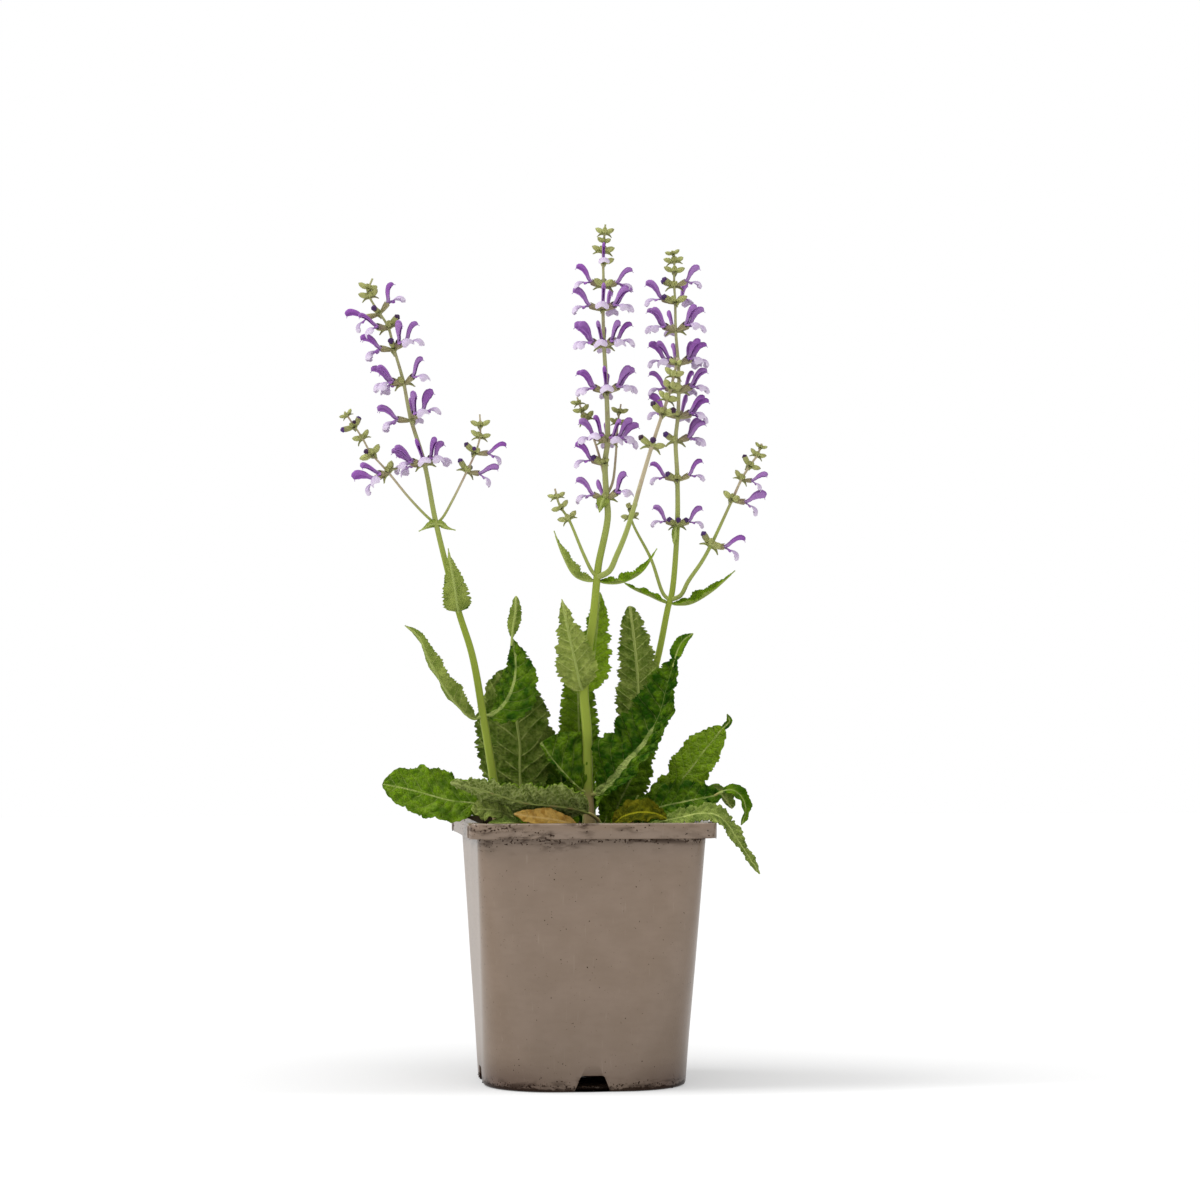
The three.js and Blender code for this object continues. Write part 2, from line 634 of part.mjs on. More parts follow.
const RIGHT_STEM = {
  sprays: [
    {
      places: [[30, 22, 146], [31, 22, 170], [37, 20, 215], [47.4, 18, 256.6], [52.9, 16, 284.2],
        [55.1, 16, 292], [58.4, 15, 334.1], [58.4, 15, 362.5], [57.4, 15, 385.6], [58.8, 15, 399.4],
        [59.4, 15, 417.8], [59.1, 15, 431.4], [57.5, 15, 451.6], [57.2, 15, 469.4], [56.6, 15, 479.8],
        [56.6, 15, 488], [56.6, 15, 494], [55.4, 15, 500.2]],
      rooted: true,
      foot: 3.2,
      tip: 0.7,
      steps: 22,
      whorls: [
        { z: 333.6, open: [180, 0], buds: [270, 215, 325] },
        { z: 361.3, open: [178, 2], buds: [205] },
        { z: 385, open: [350, 25], buds: [182, 212] },
        { z: 399.5, open: [176, 0, 75, 330] },
        { z: 415, open: [180, 0, 330, 60] },
        { z: 432, open: [180, 232, 5, 45, 318, 100] },
        { z: 452.2, open: [184, 215, 320, 0, 100] },
        { z: 469.3, open: [180, 60], buds: [205, 0] },
        { z: 479.4, open: [2], buds: [165, 200], size: 0.9 },
        { z: 487.7, buds: [180, 0, 270], size: 0.85 },
        { z: 494, buds: [175, 20], size: 0.75 },
        { z: 498.5, buds: [190, 0, 90], size: 0.55 },
      ],
    },
    {
      places: [[53.8, 16, 288], [60.1, 14, 290.5], [64.9, 12, 299.2], [73.1, 10, 311.1], [78.6, 9, 321.1],
        [91.5, 8, 348.7], [97, 8, 360.7], [102.1, 8, 369.1], [106.6, 8, 375.4], [109.3, 8, 382.4]],
      foot: 1.7,
      tip: 0.7,
      steps: 13,
      whorls: [
        { z: 321.1, open: [0], buds: [172, 322] },
        { z: 348.8, open: [2], buds: [165, 300], size: 0.95 },
        { z: 361, open: [345], buds: [175], size: 0.75 },
        { z: 369, buds: [160, 0], size: 0.85 },
        { z: 375.2, buds: [175, 0], size: 0.65 },
        { z: 380, buds: [190, 0, 90], size: 0.5 },
      ],
    },
    {
      places: [[53.8, 16, 288], [50.1, 18, 291.5], [42.6, 20, 312.9], [30.8, 22, 336.7], [29.4, 23, 347.5]],
      foot: 1.4,
      tip: 0.8,
      steps: 7,
      whorls: [
        { z: 338.6, buds: [180, 22], size: 0.7 },
        { z: 344, buds: [250, 350, 90], size: 0.6 },
      ],
    },
  ],
  leaves: [
    {
      spine: [[53.6, 16, 286.5], [49, 14, 287.6], [41.8, 12, 290.6], [31.7, 10, 294.7], [25, 9, 299]],
      width: 9, up: [0.2, -0.3, 0.9], from: 0.08, belly: 0.4, blunt: 1.2, fold: 30, steps: 10, petiole: 1.1,
    },
    {
      spine: [[53.6, 16, 286.5], [58, 14, 285.6], [66, 12, 286], [79, 9, 293.2], [93.1, 7, 305.5]],
      width: 14, up: [-0.2, -0.35, 0.85], from: 0.08, belly: 0.42, blunt: 1.1, fold: 35, steps: 10, petiole: 1.1,
    },
    {
      spine: [[58.4, 15, 333], [57.6, 12, 331.6], [56.8, 10.4, 327], [56.2, 10, 321.5]],
      width: 4.5, up: [0, -0.9, 0.4], from: 0.2, belly: 0.3, fold: 10, steps: 4, petiole: 0.9,
    },
  ],
};

// ---------------------------------------------------------------- the rosette

const BASAL_LEAVES = [
  {
    name: 'leaf_left_upright', material: LEAF_UNDERSIDE,
    spine: [[-33, 11, 146], [-33.5, 11, 152], [-36, 12, 168], [-37, 13, 186], [-37, 14, 200], [-39, 15, 216],
      [-39.5, 16, 231], [-35, 17, 248]],
    width: 53, up: [-0.05, 0.97, 0.2], from: 0.1, belly: 0.5, blunt: 0.5, fold: 8, wave: 1.6, steps: 14,
    petiole: 2, left: 0.82,
  },
  {
    name: 'leaf_left_broad',
    spine: [[-40, -22, 146], [-42, -24, 153], [-52, -31, 162], [-63, -38, 166.5], [-75, -44, 168],
      [-90, -48, 172], [-103, -49.5, 175.5], [-116, -51, 178]],
    width: 40, left: 0.84, up: [0.1, -0.78, 0.62], from: 0.24, belly: 0.6, blunt: 0.5, fold: 6, wave: 1.2,
    steps: 13, petiole: 1.8,
  },
  {
    name: 'leaf_front_long', material: LEAF_UNDERSIDE,
    spine: [[12, -26, 146], [11, -29, 156], [2, -37, 165], [-12.6, -45, 168], [-33.6, -52, 168.5],
      [-54.7, -55, 173.5], [-76, -57, 179.5]],
    width: 24, up: [0, 0.6, 0.8], from: 0.18, belly: 0.4, blunt: 0.7, fold: 12, wave: 1.4, steps: 13,
    petiole: 1.7,
  },
  {
    name: 'leaf_front_crumpled',
    spine: [[-34, -30, 146], [-36, -34, 151], [-42, -41, 156], [-52, -46, 159], [-64, -50, 159.5]],
    width: 15, up: [0.1, -0.75, 0.65], from: 0.3, belly: 0.5, blunt: 0.5, fold: 12, wave: 1.6, steps: 10,
    petiole: 1.4,
  },
  {
    name: 'leaf_front_pale', material: LEAF_UNDERSIDE,
    spine: [[-28, -42, 146], [-29, -46, 149.5], [-36, -54, 153], [-46, -58, 153.5], [-56, -59.5, 152]],
    width: 9, up: [0, -0.5, 0.85], from: 0.3, belly: 0.5, fold: 10, wave: 0.8, steps: 10, petiole: 1.1,
  },
  {
    name: 'leaf_front_dead', material: DEAD_LEAF,
    spine: [[2, -48, 146], [0, -50.5, 150], [-6, -54, 153.5], [-18, -57, 156], [-30, -57.5, 157.5],
      [-38, -56.5, 158.5]],
    width: 13, up: [0, -0.85, 0.5], from: 0.16, belly: 0.5, blunt: 0.7, fold: 6, wave: 0.7, steps: 10,
    petiole: 1.1,
  },
  {
    name: 'leaf_front_yellow', material: YELLOW_LEAF,
    spine: [[16, -40, 146], [18, -43, 152], [24, -48, 157.5], [33, -51, 160], [43, -52, 159], [50, -52, 156.5]],
    width: 14, up: [0, -0.6, 0.8], from: 0.2, belly: 0.45, blunt: 0.6, fold: 20, wave: 1.4, steps: 10,
    petiole: 1.2,
  },
  {
    name: 'leaf_centre_back',
    spine: [[2, 6, 146], [2, 6.5, 152], [1.5, 8, 174], [-1, 10, 205], [-2, 12, 235], [-3, 13, 256]],
    width: 25, up: [0, -0.95, 0.3], from: 0.12, belly: 0.5, blunt: 0.6, fold: 12, wave: 1.4, petiole: 1.7,
  },
  {
    name: 'leaf_right_inner',
    spine: [[18, -2, 146], [18.5, -2, 152], [23, -3, 166], [30, -4, 180], [37, -4, 196], [42, -3, 210]],
    width: 25, up: [0.1, -0.95, 0.3], from: 0.1, belly: 0.4, blunt: 0.7, fold: 14, wave: 1.3, petiole: 1.8,
  },
  {
    name: 'leaf_right_tall', material: LEAF_UNDERSIDE,
    spine: [[20, 10, 146], [20.5, 10, 152], [28, 9, 178], [33.5, 8, 205], [34.5, 7, 233], [33, 6, 255],
      [29.5, 5, 284]],
    width: 31, up: [0.1, 0.97, 0.15], from: 0.2, belly: 0.42, blunt: 0.46, fold: 9, wave: 1.1, steps: 14,
    petiole: 1.9,
  },
  {
    name: 'leaf_right_upper',
    spine: [[38, 2, 146], [39.5, 2, 152], [49, 2, 167], [58, 0, 177], [66, -1, 186], [74, -2, 197],
      [80, -3, 204], [85.5, -4, 211]],
    width: 34, left: 0.8, right: 0.9, up: [-0.3, -0.85, 0.45], from: 0.12, belly: 0.58, blunt: 0.5, fold: 15, wave: 1.5, steps: 13,
    petiole: 1.8,
    tail: {
      spine: [[82.5, -3.5, 207.5], [86.5, -4, 211.5], [89, -5, 214.5], [87.5, -5.5, 219]],
      width: 4.5, up: [-0.3, -0.85, 0.45], belly: 0.4, fold: 10, wave: 0.2, steps: 5, petiole: 0.9,
    },
  },
  {
    name: 'leaf_right_arching',
    spine: [[34, -16, 146], [35.5, -18, 153], [44, -24, 162.5], [58, -28, 166.5], [70, -30, 169],
      [83, -31, 171.5]],
    width: 23, up: [-0.1, -0.7, 0.75], from: 0.16, belly: 0.45, blunt: 0.6, fold: 14, wave: 1.5, petiole: 1.7,
    tail: {
      spine: [[79, -30.7, 170.8], [84, -31, 173.5], [89.5, -31, 174], [95, -31, 169.5], [97, -31, 162],
        [94.5, -31, 153.5]],
      width: 11, up: [0.2, -0.75, 0.65], upTip: [0.85, -0.5, 0.2], belly: 0.3, blunt: 0.6, fold: 24, wave: 0.8,
      petiole: 1.0,
    },
  },
  {
    name: 'leaf_right_hanging', material: LEAF_UNDERSIDE,
    spine: [[30, -32, 146], [32, -34, 152], [44, -42, 158], [58, -47, 162], [70, -50, 163.5], [79, -52, 162],
      [86, -53, 154], [91, -54, 146], [97.5, -56, 136], [104, -57, 126]],
    width: 18, up: [0, -0.5, 0.85], upTip: [0.8, -0.6, 0.3], from: 0.14, belly: 0.4, blunt: 0.6, fold: 10,
    wave: 1.0, steps: 14, petiole: 1.5,
  },
  {
    name: 'leaf_back_left',
    spine: [[-40, 26, 146], [-42, 28, 152], [-52, 42, 158], [-66, 60, 163], [-82, 78, 165], [-94, 92, 161]],
    width: 30, up: [0, 0, 1], from: 0.2, belly: 0.45, blunt: 0.6, fold: 14, wave: 1.4, petiole: 1.8,
  },
  {
    name: 'leaf_back_middle_left',
    spine: [[-28, 34, 146], [-28.5, 37, 155], [-34, 50, 178], [-38, 64, 198], [-41, 80, 212]],
    width: 28, up: [0, -0.6, 0.8], from: 0.2, belly: 0.45, blunt: 0.6, fold: 18, wave: 1.4, petiole: 1.8,
  },
  {
    name: 'leaf_back_middle',
    spine: [[8, 32, 146], [8, 35, 154], [8, 50, 166], [7, 70, 174], [5, 92, 174], [3, 108, 166]],
    width: 28, up: [0, 0, 1], from: 0.2, belly: 0.45, blunt: 0.6, fold: 14, wave: 1.4, petiole: 1.8,
  },
  {
    name: 'leaf_back_middle_right',
    spine: [[25, 38, 146], [25.5, 41, 155], [29, 54, 175], [33, 68, 189], [37, 84, 198]],
    width: 26, up: [0, -0.6, 0.8], from: 0.2, belly: 0.45, blunt: 0.6, fold: 18, wave: 1.4, petiole: 1.7,
  },
  {
    name: 'leaf_back_right',
    spine: [[46, 26, 146], [48, 28, 153], [60, 38, 165], [74, 50, 172], [86, 62, 170], [94, 70, 160]],
    width: 28, up: [0, 0, 1], from: 0.2, belly: 0.45, blunt: 0.6, fold: 14, wave: 1.4, petiole: 1.7,
  },
];

// ---------------------------------------------------------------- the whole

const plant = new THREE.Group();
plant.rotation.z = PLANT_TURN;
plant.add(
  floweringStem('stem_left', LEFT_STEM),
  floweringStem('stem_center', CENTRE_STEM),
  floweringStem('stem_right', RIGHT_STEM),
  ...BASAL_LEAVES.map(basalLeaf),
);

const feet = [
  ...[LEFT_STEM, CENTRE_STEM, RIGHT_STEM].map(({ sprays: [main] }) => ({ at: main.places[0], radius: main.foot })),
  ...BASAL_LEAVES.map((leaf) => ({ at: leaf.spine[0], radius: leaf.petiole })),
];

const salvia = new THREE.Group();
salvia.add(container(), soil(feet.map(hole)), plant);
export default salvia;
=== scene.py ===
"""A perennial salvia in its square nursery container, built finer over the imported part.

Every measure is in millimetres in the plant's own axes (across, away, up) until a piece is finished. It is
then turned and scaled into the row frame, which is in metres.
"""

from __future__ import annotations

import logging
import math
import random
from bisect import bisect_right
from collections.abc import Callable, Iterable, Sequence
from dataclasses import dataclass, field, replace
from enum import Enum
from functools import lru_cache, partial

import bmesh
import bpy
from mathutils import Euler, Matrix, Vector, noise

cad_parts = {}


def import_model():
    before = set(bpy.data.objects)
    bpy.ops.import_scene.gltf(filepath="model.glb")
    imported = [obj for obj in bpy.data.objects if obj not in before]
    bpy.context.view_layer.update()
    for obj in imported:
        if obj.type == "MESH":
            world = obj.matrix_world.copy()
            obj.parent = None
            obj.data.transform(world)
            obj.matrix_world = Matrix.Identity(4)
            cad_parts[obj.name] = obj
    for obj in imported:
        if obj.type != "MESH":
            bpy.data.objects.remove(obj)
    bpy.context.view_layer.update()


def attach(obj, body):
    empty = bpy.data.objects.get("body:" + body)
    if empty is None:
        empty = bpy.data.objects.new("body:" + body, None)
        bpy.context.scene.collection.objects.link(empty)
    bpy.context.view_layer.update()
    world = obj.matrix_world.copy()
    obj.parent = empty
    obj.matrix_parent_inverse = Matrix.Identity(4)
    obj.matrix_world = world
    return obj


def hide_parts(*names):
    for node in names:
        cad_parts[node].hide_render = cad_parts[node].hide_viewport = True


LOG = logging.getLogger("salvia")
SEED = 20

Point = tuple[float, float, float]
Span = tuple[float, float]
Ring = tuple[float, float, float]        # half width, corner radius and height
Socket = bpy.types.NodeSocket
BMesh = bmesh.types.BMesh

# ---------------------------------------------------------------- driving dimensions

TO_METRES = Matrix.Scale(0.001, 4)
PLANT_TO_ROW = TO_METRES @ Matrix.Rotation(math.radians(-6.5), 4, "Z")
AWAY = Vector((0, 1, 0))
UP = Vector((0, 0, 1))

PEG = 7.0                # how far a stem or petiole goes on into the soil

BLADE = 0.55             # thickness of a leaf blade
TOOTH = 0.2              # depth of a leaf's rounded teeth, as a share of its half width
TOOTH_LIMIT = 2.0
LOBE = 0.16              # depth of the bays between its larger lobes, as a share of its half width
RIPPLE_TURN = 2.1        # radians of an edge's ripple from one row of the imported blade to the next
ROW_DENSITY = 1.35       # rows of faces along a blade, for each that the size of a face asks for
PETIOLE_TIP = 0.75
RIB_TIP = 0.3
RIB_REACH = 0.93         # how far the midrib runs, as a share of the spine
WELD = 1e-3
CREASE = 55.0            # degrees past which an edge looks crisp


class Slot(str, Enum):
    """The record's material slots."""

    PLASTIC = "taupe_plastic"
    SOIL = "peat_soil"
    FLOWERS = "flowering_stem"
    GREEN = "leaf_green"
    UNDERSIDE = "leaf_underside"
    YELLOW = "leaf_yellow"
    DEAD = "leaf_dead"


# ---------------------------------------------------------------- small tools


def linear(code: str) -> tuple[float, float, float, float]:
    """Turns an sRGB hex code into the linear colour that shaders use.

    Args:
        code: Six hex digits, with a leading '#'.

    Returns:
        Red, green, blue and an alpha of 1.
    """
    parts = [int(code[i : i + 2], 16) / 255 for i in (1, 3, 5)]
    red, green, blue = (c / 12.92 if c <= 0.04045 else ((c + 0.055) / 1.055) ** 2.4 for c in parts)
    return red, green, blue, 1.0


def lerp(a: float, b: float, share: float) -> float:
    """Goes from a to b as share goes from 0 to 1."""
    return a + (b - a) * share


def smooth(low: float, high: float, value: float) -> float:
    """Rises softly from 0 at low to 1 at high."""
    share = min(max((value - low) / (high - low), 0.0), 1.0)
    return share * share * (3 - 2 * share)


def profile(stops: Sequence[Span], share: float) -> float:
    """Reads a softly joined profile.

    Args:
        stops: Pairs of a place from 0 to 1 and the value there, in rising order of place.
        share: The place to read.

    Returns:
        The value at that place.
    """
    for (low, before), (high, after) in zip(stops, stops[1:]):
        if share <= high:
            return lerp(before, after, smooth(low, high, share))
    return stops[-1][1]


@dataclass(frozen=True)
class Station:
    """A place along a route, with the way it runs, its right-hand side and its upper side."""

    p: Vector
    t: Vector
    s: Vector
    n: Vector

    @classmethod
    def facing(cls, place: Vector, heading: Vector, up: Vector) -> Station:
        """Makes the station whose upper side looks as nearly as it can along up."""
        side = heading.cross(up).normalized()
        return cls(place, heading, side, side.cross(heading))


class Route:
    """A smooth curve through places, walked by its length."""

    STEPS = 24

    def __init__(self, places: Sequence[Point]) -> None:
        """Samples the centripetal curve through the places.

        Args:
            places: The places that the curve passes, two or more.
        """
        knots = [Vector(p) for p in places]
        ends = [2 * knots[0] - knots[1], *knots, 2 * knots[-1] - knots[-2]]
        self.points = [knots[0]]
        for a, b, c, d in zip(ends, ends[1:], ends[2:], ends[3:]):
            self.points += self._stretch(a, b, c, d)
        self.lengths = [0.0]
        for before, after in zip(self.points, self.points[1:]):
            self.lengths.append(self.lengths[-1] + (after - before).length)
        self.length = self.lengths[-1]
        wide = [self.points[0], *self.points, self.points[-1]]
        self.headings = [(after - before).normalized() for before, after in zip(wide, wide[2:])]

    def _stretch(self, a: Vector, b: Vector, c: Vector, d: Vector) -> list[Vector]:
        """Samples the stretch from b to c."""
        da, db, dc = ((q - p).length ** 0.5 for p, q in ((a, b), (b, c), (c, d)))
        start = ((b - a) / da - (c - a) / (da + db) + (c - b) / db) * db
        finish = ((c - b) / db - (d - b) / (db + dc) + (d - c) / dc) * db
        made = []
        for k in range(1, self.STEPS + 1):
            x = k / self.STEPS
            bend = (2 * b - 2 * c + start + finish) * x**3 + (3 * c - 3 * b - 2 * start - finish) * x**2
            made.append(b + start * x + bend)
        return made

    def at(self, share: float) -> tuple[Vector, Vector]:
        """Gives the place and the heading at a share of the length."""
        goal = min(max(share, 0.0), 1.0) * self.length
        k = min(bisect_right(self.lengths, goal), len(self.lengths) - 1)
        part = (goal - self.lengths[k - 1]) / (self.lengths[k] - self.lengths[k - 1])
        place = self.points[k - 1].lerp(self.points[k], part)
        return place, self.headings[k - 1].lerp(self.headings[k], part).normalized()

    def share_at_height(self, z: float) -> float:
        """Gives the share of the length at which the route first passes a height."""
        k = next(i for i, p in enumerate(self.points) if p.z > z)
        part = (z - self.points[k - 1].z) / (self.points[k].z - self.points[k - 1].z)
        return lerp(self.lengths[k - 1], self.lengths[k], part) / self.length


# ---------------------------------------------------------------- mesh tools

Chart = tuple[Span, Span]


def blank() -> BMesh:
    """Starts a mesh with the coordinates and the shade that every finish here may read."""
    bm = bmesh.new()
    bm.loops.layers.uv.new("form")
    bm.loops.layers.uv.new("lamina")
    bm.verts.layers.float.new("shade")
    bm.verts.layers.float.new("net")
    return bm


def patch(
    bm: BMesh,
    columns: int,
    rows: int,
    place: Callable[[float, float], Vector],
    chart: Callable[[float, float], Chart] | None = None,
    material: int = 0,
    weld: bool = True,
    net: Callable[[float, float], float] | None = None,
) -> list[bmesh.types.BMFace]:
    """Adds a grid whose corners are placed by a rule.

    Args:
        bm: The mesh that the grid joins.
        columns: Faces across.
        rows: Faces along.
        place: Gives the place for (across, along), each from 0 to 1.
        chart: Gives the 'form' and 'lamina' coordinates there. Without it both are (across, along).
        material: Which of the piece's finishes the faces take.
        weld: Whether corners that fall together, as at a seam or a pole, become one.
        net: Gives how much of a vein runs there, from 0 to 1.

    Returns:
        The new faces, without those that the welding made anew.
    """
    made = bmesh.ops.create_grid(bm, x_segments=columns, y_segments=rows, size=0.5)["verts"]
    form, lamina = bm.loops.layers.uv["form"], bm.loops.layers.uv["lamina"]
    faces = {face for vert in made for face in vert.link_faces}
    for vert in made:
        u, v = vert.co.x + 0.5, vert.co.y + 0.5
        first, second = chart(u, v) if chart else ((u, v), (u, v))
        for loop in vert.link_loops:
            loop[form].uv = first
            loop[lamina].uv = second
        vert.co = place(u, v)
        if net:
            vert[bm.verts.layers.float["net"]] = net(u, v)
    for face in faces:
        face.material_index = material
    if weld:
        bmesh.ops.remove_doubles(bm, verts=made, dist=WELD)
    return [face for face in faces if face.is_valid]


def thicken(bm: BMesh, faces: list[bmesh.types.BMFace], depth: float, material: int) -> None:
    """Gives a sheet a thickness, half of it on either side.

    Args:
        bm: The mesh.
        faces: The sheet's faces, looking up.
        depth: The thickness.
        material: Which finish the lower side takes. The edge keeps the upper side's.
    """
    bm.normal_update()
    verts = {vert for face in faces for vert in face.verts}
    for vert in verts:
        vert.co += vert.normal * depth / 2
    under = bmesh.ops.solidify(bm, geom=faces, thickness=depth)["geom"]
    for face in (item for item in under if isinstance(item, bmesh.types.BMFace)):
        face.material_index = material


def tube(
    bm: BMesh,
    sides: int,
    rows: int,
    station: Callable[[float], Station],
    radius: Callable[[float, float], float],
    material: int = 0,
) -> None:
    """Sweeps a closed tube.

    Args:
        bm: The mesh that the tube joins.
        sides: Faces round it.
        rows: Faces along it.
        station: Gives the station for a share of the way along.
        radius: Gives the radius for (share along, angle round in radians).
        material: Which of the piece's finishes it takes.
    """
    known = lru_cache(maxsize=None)(station)

    def place(u: float, v: float) -> Vector:
        """Goes round the tube, and closes it to a point at either end."""
        along = min(max((v * (rows + 2) - 1) / rows, 0.0), 1.0)
        here = known(round(along, 6))
        if v < 0.5 / (rows + 2) or v > 1 - 0.5 / (rows + 2):
            return here.p.copy()
        turn = -2 * math.pi * (u % 1.0)
        return here.p + (here.s * math.cos(turn) + here.n * math.sin(turn)) * radius(along, turn)

    patch(bm, sides, rows + 2, place, material=material)


def box(bm: BMesh, size: Point, place: Point) -> None:
    """Adds a box of that size round a place."""
    made = bmesh.ops.create_cube(bm, size=1.0)["verts"]
    bmesh.ops.scale(bm, vec=size, verts=made)
    bmesh.ops.translate(bm, vec=place, verts=made)


def crumb(bm: BMesh, radius: float, squash: Point, place: Point) -> None:
    """Adds a crumb of soil, a ball squashed along each axis, at a place."""
    made = bmesh.ops.create_icosphere(bm, subdivisions=1, radius=radius)["verts"]
    bmesh.ops.scale(bm, vec=squash, verts=made)
    bmesh.ops.translate(bm, vec=place, verts=made)


def mesh_of(bm: BMesh, name: str) -> bpy.types.Mesh:
    """Turns a bmesh into a mesh with soft shading and crisp edges, and frees it."""
    mesh = bpy.data.meshes.new(name)
    bm.to_mesh(mesh)
    bm.free()
    mesh.shade_smooth()
    mesh.set_sharp_from_angle(angle=math.radians(CREASE))
    return mesh


def stamp(bm: BMesh, form: bpy.types.Mesh, matrix: Matrix, shade: float = 0.5) -> None:
    """Adds a copy of a form to a mesh.

    Args:
        bm: The mesh that the copy joins.
        form: The form.
        matrix: Where the copy goes.
        shade: From 0 to 1, how the copy differs in tone from its neighbours.
    """
    start = len(bm.verts)
    bm.from_mesh(form)
    bm.verts.ensure_lookup_table()
    made = bm.verts[start:]
    bmesh.ops.transform(bm, matrix=matrix, verts=made)
    tone = bm.verts.layers.float["shade"]
    for vert in made:
        vert[tone] = shade


def show(
    bm: BMesh,
    name: str,
    slot: Slot,
    finishes: Iterable[bpy.types.Material],
    nodes: Iterable[str],
    matrix: Matrix = PLANT_TO_ROW,
) -> bpy.types.Object:
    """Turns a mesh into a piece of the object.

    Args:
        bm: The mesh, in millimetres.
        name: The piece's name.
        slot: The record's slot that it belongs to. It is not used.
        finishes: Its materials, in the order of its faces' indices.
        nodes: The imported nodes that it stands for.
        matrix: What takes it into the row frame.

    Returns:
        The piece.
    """
    bmesh.ops.transform(bm, matrix=matrix, verts=bm.verts)
    mesh = mesh_of(bm, name)
    for finish in finishes:
        mesh.materials.append(finish)
    piece = bpy.data.objects.new(name, mesh)
    bpy.context.scene.collection.objects.link(piece)
    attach(piece, "root")
    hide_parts(*nodes)
    mesh.calc_loop_triangles()
    LOG.info("%s: %d triangles", name, len(mesh.loop_triangles))
    return piece


# ---------------------------------------------------------------- finishes


class Graph:
    """The nodes that make a material or the world."""

    USUAL = {
        "Mix": {"data_type": "RGBA"},
        "MapRange": {"interpolation_type": "SMOOTHSTEP"},
        "TexVoronoi": {"feature": "DISTANCE_TO_EDGE"},
    }

    def __init__(self, owner: bpy.types.Material | bpy.types.World) -> None:
        """Starts with no nodes.

        Args:
            owner: The material or the world.
        """
        owner.use_nodes = True
        self.owner = owner
        self.tree = owner.node_tree
        self.tree.nodes.clear()

    def add(
        self, kind: str, *ordered: object, out: str = "", named: dict | None = None, **settings: object
    ) -> Socket:
        """Adds a node with its settings and links.

        Args:
            kind: The node's type name after 'ShaderNode', and its operation after a dot where it has one. A
                name in capitals is an operation of the Math node.
            ordered: Values, hex colours or sockets for its inputs, in the order in which it shows them.
            out: The name of the output that is wanted, where it isn't the first.
            named: Further inputs, by their names.
            settings: Its own settings, besides the usual ones of its kind.

        Returns:
            The output.
        """
        kind, _, operation = (f"Math.{kind}" if kind.isupper() else kind).partition(".")
        node = self.tree.nodes.new(f"ShaderNode{kind}")
        if operation:
            node.operation = operation
        for name, value in {**self.USUAL.get(kind, {}), **settings}.items():
            setattr(node, name, value)
        given = [*zip((socket for socket in node.inputs if socket.enabled), ordered)]
        given += [(node.inputs[name], value) for name, value in (named or {}).items()]
        for socket, value in given:
            if isinstance(value, Socket):
                self.tree.links.new(value, socket)
            else:
                socket.default_value = linear(value) if isinstance(value, str) else value
        return node.outputs[out] if out else next(socket for socket in node.outputs if socket.enabled)

    def place(self) -> Socket:
        """Gives the place on the piece, in millimetres."""
        return self.add("VectorMath.SCALE", self.add("TexCoord", out="Object"), 1000.0)

    def axis(self, name: str, layer: str = "") -> Socket:
        """Gives one axis, 'X', 'Y' or 'Z', of the place or of one of the piece's layers of coordinates."""
        return self.add("SeparateXYZ", self.add("UVMap", uv_map=layer) if layer else self.place(), out=name)

    def patches(self, place: Socket, size: float, detail: float, low: float, high: float) -> Socket:
        """Spreads soft patches of about that size, from 0 to 1 as the noise there goes from low to high."""
        return self.add("MapRange", self.add("TexNoise", place, 1 / size, detail), low, high)

    def finish(self, shader: Socket) -> bpy.types.Material | bpy.types.World:
        """Gives the material or the world that shader as its surface."""
        output = self.tree.nodes.new(f"ShaderNodeOutput{self.owner.rna_type.identifier}")
        self.tree.links.new(shader, output.inputs["Surface"])
        return self.owner

    def thin(self, colour: Socket, glow: str, translucent: float, body: dict) -> bpy.types.Material:
        """Finishes a thin material, through which a share of the light comes in the colour of its glow."""
        solid = self.add("BsdfPrincipled", colour, named=body)
        return self.finish(self.add("MixShader", translucent, solid, self.add("BsdfTranslucent", glow)))


